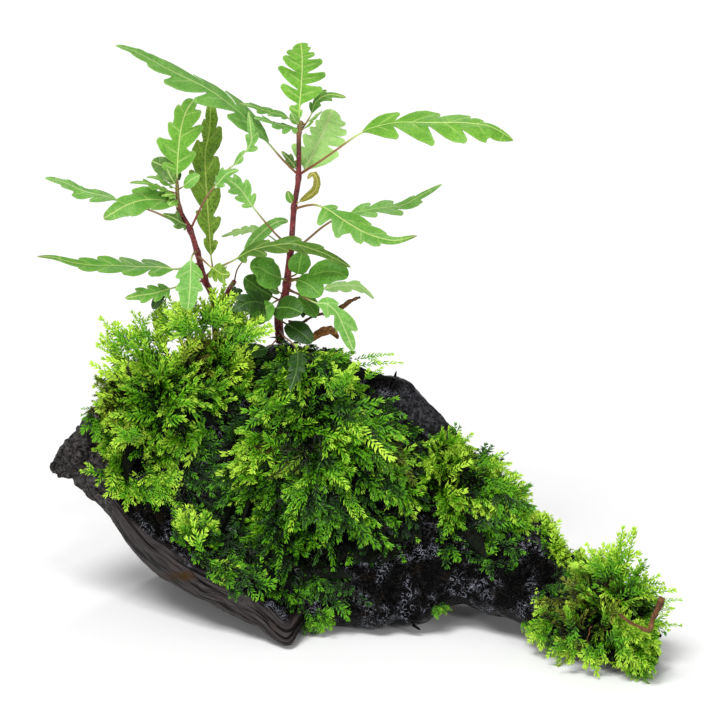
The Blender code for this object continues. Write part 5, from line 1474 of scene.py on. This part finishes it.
def surface_tree(pieces):
    """The surfaces of some pieces, for finding the nearest place on them."""
    corners, faces = [], []
    for piece in pieces:
        start = len(corners)
        corners += [v.co.copy() for v in piece.data.vertices]
        faces += [tuple(start + i for i in p.vertices) for p in piece.data.polygons]
    return BVHTree.FromPolygons(corners, faces)


def clump_samples(clump, wood, count, rng):
    """Places on the clump's upper surface: each place, its height over the wood and the wood's direction."""
    mesh = clump.data
    mesh.calc_loop_triangles()
    corners = vertex_places(mesh)
    triangles = np.array([t.vertices[:] for t in mesh.loop_triangles])
    centres = corners[triangles].mean(axis=1)
    heights = np.array([wood.find_nearest(Vector(c))[3] for c in centres])
    triangles = triangles[heights > FLUSH]
    a, b, c = (corners[triangles[:, k]] for k in range(3))
    areas = np.linalg.norm(np.cross(b - a, c - a), axis=1)
    pick = rng.choice(len(triangles), count, p=areas / areas.sum())
    u, v = rng.random((2, count, 1))
    flip = u + v > 1
    u, v = np.where(flip, 1 - u, u), np.where(flip, 1 - v, v)
    places = a[pick] + u * (b - a)[pick] + v * (c - a)[pick]
    peaks = np.unique(triangles)
    places = np.concatenate([places, corners[peaks[rng.random(len(peaks)) < PEAK_SHARE]]])
    over = [wood.find_nearest(Vector(p)) for p in places]
    return places, np.array([hit[3] for hit in over]), unit(places - np.array([list(hit[0]) for hit in over]))


def brownness(places):
    """How brown the moss is at each place, from 0 to 1."""
    brown = np.zeros(len(places))
    for k, place in enumerate(places):
        side, rise = picture_place(Vector(place))
        ragged = 1 + 0.5 * noise.noise(Vector(place) / (4 * MM))
        for spot_side, spot_rise, reach in BROWN_SPOTS:
            apart = math.hypot(side - spot_side, rise - spot_rise) * ragged / reach
            brown[k] = max(brown[k], 1 - apart * apart)
    return brown


def runners(name, rng, trees):
    """Brown creeping stems that wind through a clump."""
    count, middle, reach = RUNNERS[name]
    pieces = []
    for _ in range(count):
        place = np.array(middle, float) + rng.normal(0, 0.45, 3) * reach
        way = unit(rng.normal(0, 1, 3))
        points = []
        for _ in range(6):
            points.append(seen(*place))
            way = unit(way + rng.normal(0, 0.7, 3))
            place = place + way * rng.uniform(1.5, 3.0) * np.array((1, 1, 0.4))
        if not rooted(points, trees).all():
            continue
        radius = rng.uniform(0.16, 0.38) * MM
        pieces.append(tube(name + "_runner", points, [radius, radius, 0.5 * radius], sides=1, steps=3))
    return pieces


def rows_of(**values):
    """One row for each shoot: every value as an array."""
    return {key: np.asarray(value, float) for key, value in values.items()}


def rooted(places, trees):
    """Whether each place lies inside one of the closed surfaces, or within a millimetre of it."""
    kept = np.zeros(len(places), bool)
    for k, place in enumerate(places):
        for tree in trees:
            inside = 0
            for way in (Vector((1, 0.1, 0.2)), Vector((-0.2, 1, 0.1)), Vector((0.1, -0.2, 1))):
                hit, normal, _, _ = tree.ray_cast(Vector(place), way)
                inside += hit is not None and normal.dot(way) > 0
            kept[k] |= inside > 1 or tree.find_nearest(Vector(place))[3] < MM
    return kept


def grown_on_clump(name, clump, wood, surface, count, rng):
    """Shoots all over a clump, most of them at its surface and some deep inside."""
    lean, spread, shortest, longest, _, bright, rim = MOSS[name]
    tips, height, out = clump_samples(clump, wood, count, rng)
    gaps = np.array([noise.noise(Vector(p) / GAP_SIZE) for p in tips])
    radial = unit(tips - tips.mean(axis=0))
    tufts = np.array([list(noise.noise_vector(Vector(p) / TUFT_SIZE)) for p in tips])
    standing = 0.3 + 0.8 * smooth_step(0.6, 1.0, height / height.max())[:, None]
    ways = unit(standing * out + np.array(lean) + spread * radial + 0.75 * tufts + rng.normal(0, 0.16, tips.shape))
    rising = np.sum(ways * out, axis=1, keepdims=True)
    ways = unit(ways + out * np.maximum(0, LEAST_RISE - rising))
    rising = np.maximum(np.sum(ways * out, axis=1), 0.2)
    deep = (rng.random(len(tips)) < DEEP_SHARE) | (gaps < GAP_LEVEL)
    layer = np.where(deep, rng.uniform(*DEEP_LAYER, len(tips)), rng.uniform(*TOP_LAYER, len(tips)))
    tips = tips - out * (height * (1 - layer))[:, None]
    depths = np.array([surface.find_nearest(Vector(tip))[3] for tip in tips]) / MM
    upper = (tips[:, 2] - tips[:, 2].mean()) / np.ptp(tips[:, 2])
    apart = np.linalg.norm(tips - tips.mean(axis=0), axis=1)
    outward = apart / apart.max() - 0.5
    lengths = rng.uniform(shortest, longest, len(tips)) * MM
    lengths = np.clip(lengths, 4 * MM, np.maximum((height * layer + 1.6 * MM) / rising, 5 * MM))
    # Painted light and shade in the shoots' tone: darker in the gaps, lighter towards the top, and lighter at the
    # outline and darker in the middle by the rim column.
    shades = bright + np.maximum(1.1 * gaps, DARKEST_GAP) + 0.5 * upper + rim * outward
    # Painted shade: the deeper a shoot ends inside the clump, the darker it is.
    shades -= np.minimum(DARKER_DEEP * depths, DARKEST_DEEP)
    rows = rows_of(
        roots=tips - ways * (lengths * 0.97)[:, None], ways=ways, lengths=lengths,
        faces_out=unit(out + 0.4 * tufts + rng.normal(0, 0.28, tips.shape) + np.array([0, -0.4, 0.3])),
        bends=rng.uniform(0.0, 1.0, len(tips)), widths=rng.uniform(0.8, 1.25, len(tips)),
        shades=shades + rng.normal(0, 0.13, len(tips)),
    )
    inside = rooted(tips, (surface,))
    return {key: value[inside] for key, value in rows.items()}


def grown_on_wood(name, wood, rng):
    """The clump's shoots that grow from the wood itself, found where the viewer sees it."""
    roots, ways, faces_out, lengths, shades = [], [], [], [], []
    for (side, rise, wide, tall), heading, longest, count, bright in PATCHES[name]:
        for _ in range(count):
            turn, out = rng.uniform(0, 2 * math.pi), math.sqrt(rng.random())
            eye = seen(side + wide * out * math.cos(turn), rise + tall * out * math.sin(turn), EYE_DEPTH)
            foot, normal, _, _ = wood.ray_cast(eye, LOOKING)
            if foot is None or normal.dot(LOOKING) > -0.25:
                continue
            angle = math.radians(heading + rng.normal(0, 35))
            flat = Vector((math.cos(angle), 0, 0)) + math.sin(angle) * PICTURE_UP
            way = (flat - flat.project(normal) + normal * rng.uniform(0.1, 0.5)).normalized()
            roots.append(foot)
            ways.append(way)
            faces_out.append((normal - 0.5 * LOOKING + Vector(rng.normal(0, 0.3, 3))).normalized())
            lengths.append(longest * rng.uniform(0.55, 1.0) * MM)
            shades.append(bright + 0.4 * noise.noise(foot / (6 * MM)) + rng.normal(0, 0.1))
    return rows_of(
        roots=roots, ways=ways, faces_out=faces_out, lengths=lengths, shades=shades,
        bends=rng.uniform(0.1, 0.9, len(roots)), widths=rng.uniform(0.8, 1.2, len(roots)),
    )


def long_shoots(name, rng):
    """The clump's few long shoots that stand out from it."""
    rows = [row for row in SPRIGS[name] for _ in range(1 if row[2] < LONG_SHOOT else BUNCH)]
    more = len(rows)
    apart = np.array([[0 if row[2] < LONG_SHOOT else BUNCH_REACH] for row in rows])
    starts, ends = (
        np.array([list(seen(*row[k])) for row in rows]) + rng.normal(0, 1, (more, 3)) * apart for k in (0, 1)
    )
    return rows_of(
        roots=starts, ways=unit(ends - starts), lengths=np.linalg.norm(ends - starts, axis=1),
        faces_out=unit(np.tile([0, -1.0, 0.5], (more, 1)) + rng.normal(0, 0.2, (more, 3))),
        bends=np.full(more, 0.25), widths=[row[2] for row in rows],
        shades=np.full(more, max(MOSS[name][5], 0.4) + 0.3),
    )


def in_room(ends):
    """Whether each shoot's tip stays in the model's box and off the bare lip."""
    low, high = (np.array(corner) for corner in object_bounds())
    kept = np.all((ends[:, :2] > low[:2]) & (ends[:, :2] < high[:2]), axis=1) & (ends[:, 2] > GROUND_CLEAR)
    for k, end in enumerate(ends):
        side, rise = picture_place(Vector(end))
        on_lip = LIP_EDGE[0][0] < side < LIP_EDGE[-1][0] and rise < np.interp(side, *zip(*LIP_EDGE)) + LIP_CLEAR
        kept[k] &= not on_lip
    return kept


def near_sprigs(name, places):
    """Whether each place lies close to the outer part of one of the clump's long shoots."""
    near = np.zeros(len(places), bool)
    for root, end, _ in SPRIGS.get(name, ()):
        root, end = np.array(seen(*root)), np.array(seen(*end))
        start = root + 0.35 * (end - root)
        share = np.clip((places - start) @ (end - start) / np.sum((end - start) ** 2), 0, 1)
        near |= np.linalg.norm(places - start - share[:, None] * (end - start), axis=1) < SPRIG_CLEAR
    return near


def moss_clump(name, wood, shapes, materials, settings, seed):
    rng = np.random.default_rng(seed)
    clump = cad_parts[name]
    surface = surface_tree([clump])
    kinds = [grown_on_clump(name, clump, wood, surface, int(MOSS[name][4] * FULLNESS * settings.density), rng)]
    if name in PATCHES:
        kinds.append(grown_on_wood(name, wood, rng))
    rows = {key: np.concatenate([kind[key] for kind in kinds]) for key in kinds[0]}
    ends = rows["roots"] + rows["ways"] * rows["lengths"][:, None]
    kept = in_room(ends) & (rows["roots"][:, 2] > GROUND_CLEAR) & rooted(rows["roots"], (wood, surface))
    kept &= ~near_sprigs(name, ends)
    rows = {key: value[kept] for key, value in rows.items()}
    if name in SPRIGS:
        sprigs = long_shoots(name, rng)
        rows = {key: np.concatenate([rows[key], sprigs[key]]) for key in rows}
    sizes = SHAPES_EACH * np.digitize(rows["lengths"] / MM, SHAPE_LIMITS)
    rows["variant"] = rng.integers(0, SHAPES_EACH, len(sizes)) + sizes
    rows["brown"] = brownness(rows["roots"])
    # Brown places are darkened too: partly the dead moss's own darker colour, partly painted shade.
    rows["shades"] -= 0.4 * rows["brown"]
    shoots = shoots_mesh(name + "_shoots", shapes, **rows)
    core = moss_core(name, clump, wood, settings)
    stems = runners(name, rng, (wood, surface)) if name in RUNNERS else []
    for index, parts in enumerate(((shoots,), (core,), stems)):
        for part in parts:
            for material in materials:
                part.data.materials.append(material)
            part.data.polygons.foreach_set("material_index", np.full(len(part.data.polygons), index))
    piece = joined(name + "_grown", [shoots, core, *stems])
    settle(piece, "moss_bright" if name in BRIGHT_MOSS else "moss_deep", name)


def moss_core(name, clump, wood, settings):
    """The matted inside of a clump, close to the wood, which the finish colours near black: partly the old stems' own
    dark colour, partly painted shade.
    """
    mesh = clump.data.copy()
    core = new_piece(name + "_core", mesh)
    weld(core, cuts=1)
    moved = []
    for vertex, hidden in zip(mesh.vertices, near_sprigs(name, vertex_places(mesh))):
        foot = wood.find_nearest(vertex.co)[0]
        rough = 1 + 0.8 * noise.noise(vertex.co / (3 * MM))
        moved.append(foot + (vertex.co - foot) * (SUNK if hidden else settings.core_height * rough))
    move_corners(mesh, moved)
    return core


def moss_finish():
    """Moist green shoots, lighter at their tips and darker towards their roots, which is partly their own colour and
    partly painted shade, and the dark inside.
    """
    shown = {name: screen(*colour) for name, colour in MOSS_COLOURS.items()}
    paint = Paint("moss_shoots")
    tip = paint.stored("tip")
    place = paint.object_place()
    # The tone holds painted light and shade. The roots' darkening by nearness to a tip is partly painted shade inside
    # the clump, and the darkest level is a painted shadow colour.
    level = paint.stored("tone") * 0.65 + tip * 0.68 + (paint.grain(place, 700, 2, 0.6) - 0.5) * 0.6
    colour = paint.colours(paint.mask(level, 0.1, 0.42), shown["shadow"], shown["deep"])
    colour = paint.colours(paint.mask(level, 0.4, 0.75), colour, shown["green"])
    colour = paint.colours(paint.mask(level, 0.72, 1.1), colour, shown["tip"])
    colour = paint.colours(paint.mask(tip, 0.2, 0.0) * 0.5, colour, shown["stalk"])
    dead = paint.colours(paint.mask(level, 0.2, 0.9), shown["dead"], shown["dead_tip"])
    colour = paint.colours(paint.stored("brown") * 0.75, colour, dead)
    wet = paint.mask(paint.grain(place, 420, 2, 0.5), 0.5, 0.7)
    shoots = paint.finish(colour, 0.6 - wet * 0.4, Specular_IOR_Level=0.25)
    # The inside's near-black green is partly the matted stems' own colour and partly painted shade that fills the
    # gaps between the shoots.
    paint = Paint("moss_inside")
    pale = paint.mask(paint.grain(paint.object_place(), 500, 3, 0.6), 0.35, 0.7)
    inside = paint.colours(pale, shown["inside"], shown["inside_pale"])
    inside = paint.finish(inside, 0.7, Specular_IOR_Level=0.1)
    paint = Paint("moss_runners")
    fine = paint.grain(paint.object_place(), 800, 3, 0.6)
    brown = paint.colours(paint.mask(fine, 0.35, 0.65), shown["runner"], shown["runner_pale"])
    return shoots, inside, paint.finish(brown, 0.6, Specular_IOR_Level=0.2)


def build_moss(settings):
    noise.seed_set(MOSS_SEED)  # without it, the noise of the tufts would change with the time of day
    rng = np.random.default_rng(MOSS_SEED)
    shapes = [shoot_shape(rng, length, k % 4) for length in SHAPE_LENGTHS for k in range(SHAPES_EACH)]
    wood = surface_tree([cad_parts[name] for name in WOOD_NODES])
    materials = moss_finish()
    for seed, name in enumerate(MOSS):
        moss_clump(name, wood, shapes, materials, settings, seed)


class PLANT_OT_moss(bpy.types.Operator):
    """Cover each clump with fern-like shoots over a dark inside, which is partly painted shade"""

    bl_idname = "plant.moss"
    bl_label = "Moss"

    def execute(self, context):
        build_moss(context.scene.plant_moss)
        return {"FINISHED"}


# Stage: a pale floor, soft lamps and the camera


LAMPS = {  # round lamps, which make the glints on wet wood: place, size and share of the power
    "left_lamp": ((-0.75, -1.0, 0.35), 0.18, 1.0), "right_lamp": ((0.6, -1.15, 0.55), 0.18, 1.0),
    "high_lamp": ((0.0, -0.8, 1.3), 0.14, 0.5), "back_lamp": ((0.1, 0.8, 0.9), 0.2, 0.4),
}
LIT_MIDDLE = (0, 0, 0.1)  # where the lamps aim
KEY_PLACE, KEY_WAY, KEY_SOFTNESS = (-0.5, -0.7, 1.5), (0.3, 0.5, -1), math.radians(24)
FLOOR_SIZE = 8
FLOOR_CLOUDS = 0.97  # brightness of the floor's faint clouds


class StageSettings(bpy.types.PropertyGroup):
    floor_colour: FloatVectorProperty(
        name="Floor colour", description="Pale floor under the plant", size=3, subtype="COLOR",
        default=(0.92, 0.92, 0.92), min=0, max=1,
    )
    sky: FloatProperty(name="Sky", description="Strength of the even light from all sides", default=0.33, min=0)
    key_strength: FloatProperty(name="Key light", description="Strength of the broad light above", default=2.2)
    lamp_power: FloatProperty(name="Lamps", description="Power of the strongest lamps", default=4.2, unit="POWER")


def point_along(thing, way):
    """Turns a lamp or the camera to look along a direction."""
    thing.rotation_mode = "QUATERNION"
    thing.rotation_quaternion = Vector(way).to_track_quat("-Z", "Y")


def lamp(name, place, aim, size, power):
    bpy.ops.object.light_add(type="AREA", location=place)
    light = bpy.context.active_object
    light.name = name
    light.data.shape = "DISK"
    light.data.size = size
    light.data.energy = power
    point_along(light, Vector(aim) - Vector(place))


def build_stage(settings):
    bpy.ops.object.select_all(action="DESELECT")
    bpy.ops.mesh.primitive_plane_add(size=FLOOR_SIZE, location=(0, 1, 0))
    floor = bpy.context.active_object
    floor.name = "floor"
    paint = Paint("pale_floor")
    cloud = paint.grain(paint.object_place(), 3, 2)
    dim = tuple(FLOOR_CLOUDS * c for c in settings.floor_colour)
    floor.data.materials.append(paint.finish(paint.colours(cloud, settings.floor_colour, dim), 0.9))
    floor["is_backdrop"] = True
    bpy.ops.object.light_add(type="SUN", location=KEY_PLACE)
    key = bpy.context.active_object
    key.name = "key_light"
    key.data.energy = settings.key_strength
    key.data.angle = KEY_SOFTNESS
    point_along(key, KEY_WAY)
    for name, (place, size, share) in LAMPS.items():
        lamp(name, place, LIT_MIDDLE, size, share * settings.lamp_power)
    world = bpy.data.worlds.new("studio")
    world.use_nodes = True
    world.node_tree.nodes["Background"].inputs["Color"].default_value = (1, 1, 1, 1)
    world.node_tree.nodes["Background"].inputs["Strength"].default_value = settings.sky
    scene = bpy.context.scene
    scene.world = world
    scene.view_settings.view_transform = "Standard"
    half = PICTURE / 2
    aim = seen((half - SIDE_ZERO) * PIXEL, (RISE_ZERO - half) * PIXEL, AIM_DEPTH)
    back = Vector((0, -math.cos(VIEW_TILT), math.sin(VIEW_TILT)))
    bpy.ops.object.camera_add(location=aim + back * CAMERA_AWAY)
    camera = bpy.context.active_object
    camera.name = "camera"
    point_along(camera, -back)
    camera.data.sensor_width = SENSOR
    camera.data.lens = SENSOR * CAMERA_AWAY / (PICTURE * PIXEL * MM)
    camera.data.clip_end = 2 * CAMERA_AWAY
    scene.camera = camera


class PLANT_OT_stage(bpy.types.Operator):
    """Lay the floor, hang the lamps and place the camera"""

    bl_idname = "plant.stage"
    bl_label = "Stage"

    def execute(self, context):
        build_stage(context.scene.plant_stage)
        return {"FINISHED"}


class PLANT_PT_panel(bpy.types.Panel):
    bl_label = "Hygrophila on driftwood"
    bl_idname = "PLANT_PT_panel"
    bl_space_type = "VIEW_3D"
    bl_region_type = "UI"
    bl_category = "Plant"

    def draw(self, context):
        for operator in OPERATORS:
            self.layout.operator(operator.bl_idname)


OPERATORS = (PLANT_OT_stage, PLANT_OT_wood, PLANT_OT_stems, PLANT_OT_leaves, PLANT_OT_dry, PLANT_OT_moss)
SETTINGS = {
    "plant_wood": WoodSettings, "plant_stems": StemSettings, "plant_leaves": LeafSettings,
    "plant_dry": DrySettings, "plant_moss": MossSettings, "plant_stage": StageSettings,
}


def register():
    for kind in (*SETTINGS.values(), *OPERATORS, PLANT_PT_panel):
        bpy.utils.register_class(kind)
    for name, kind in SETTINGS.items():
        setattr(bpy.types.Scene, name, PointerProperty(type=kind))


def unregister():
    for name in SETTINGS:
        delattr(bpy.types.Scene, name)
    for kind in reversed((*SETTINGS.values(), *OPERATORS, PLANT_PT_panel)):
        bpy.utils.unregister_class(kind)


def main():
    register()
    for operator in OPERATORS:
        family, step = operator.bl_idname.split(".")
        getattr(getattr(bpy.ops, family), step)()


if __name__ == "__main__":
    main()
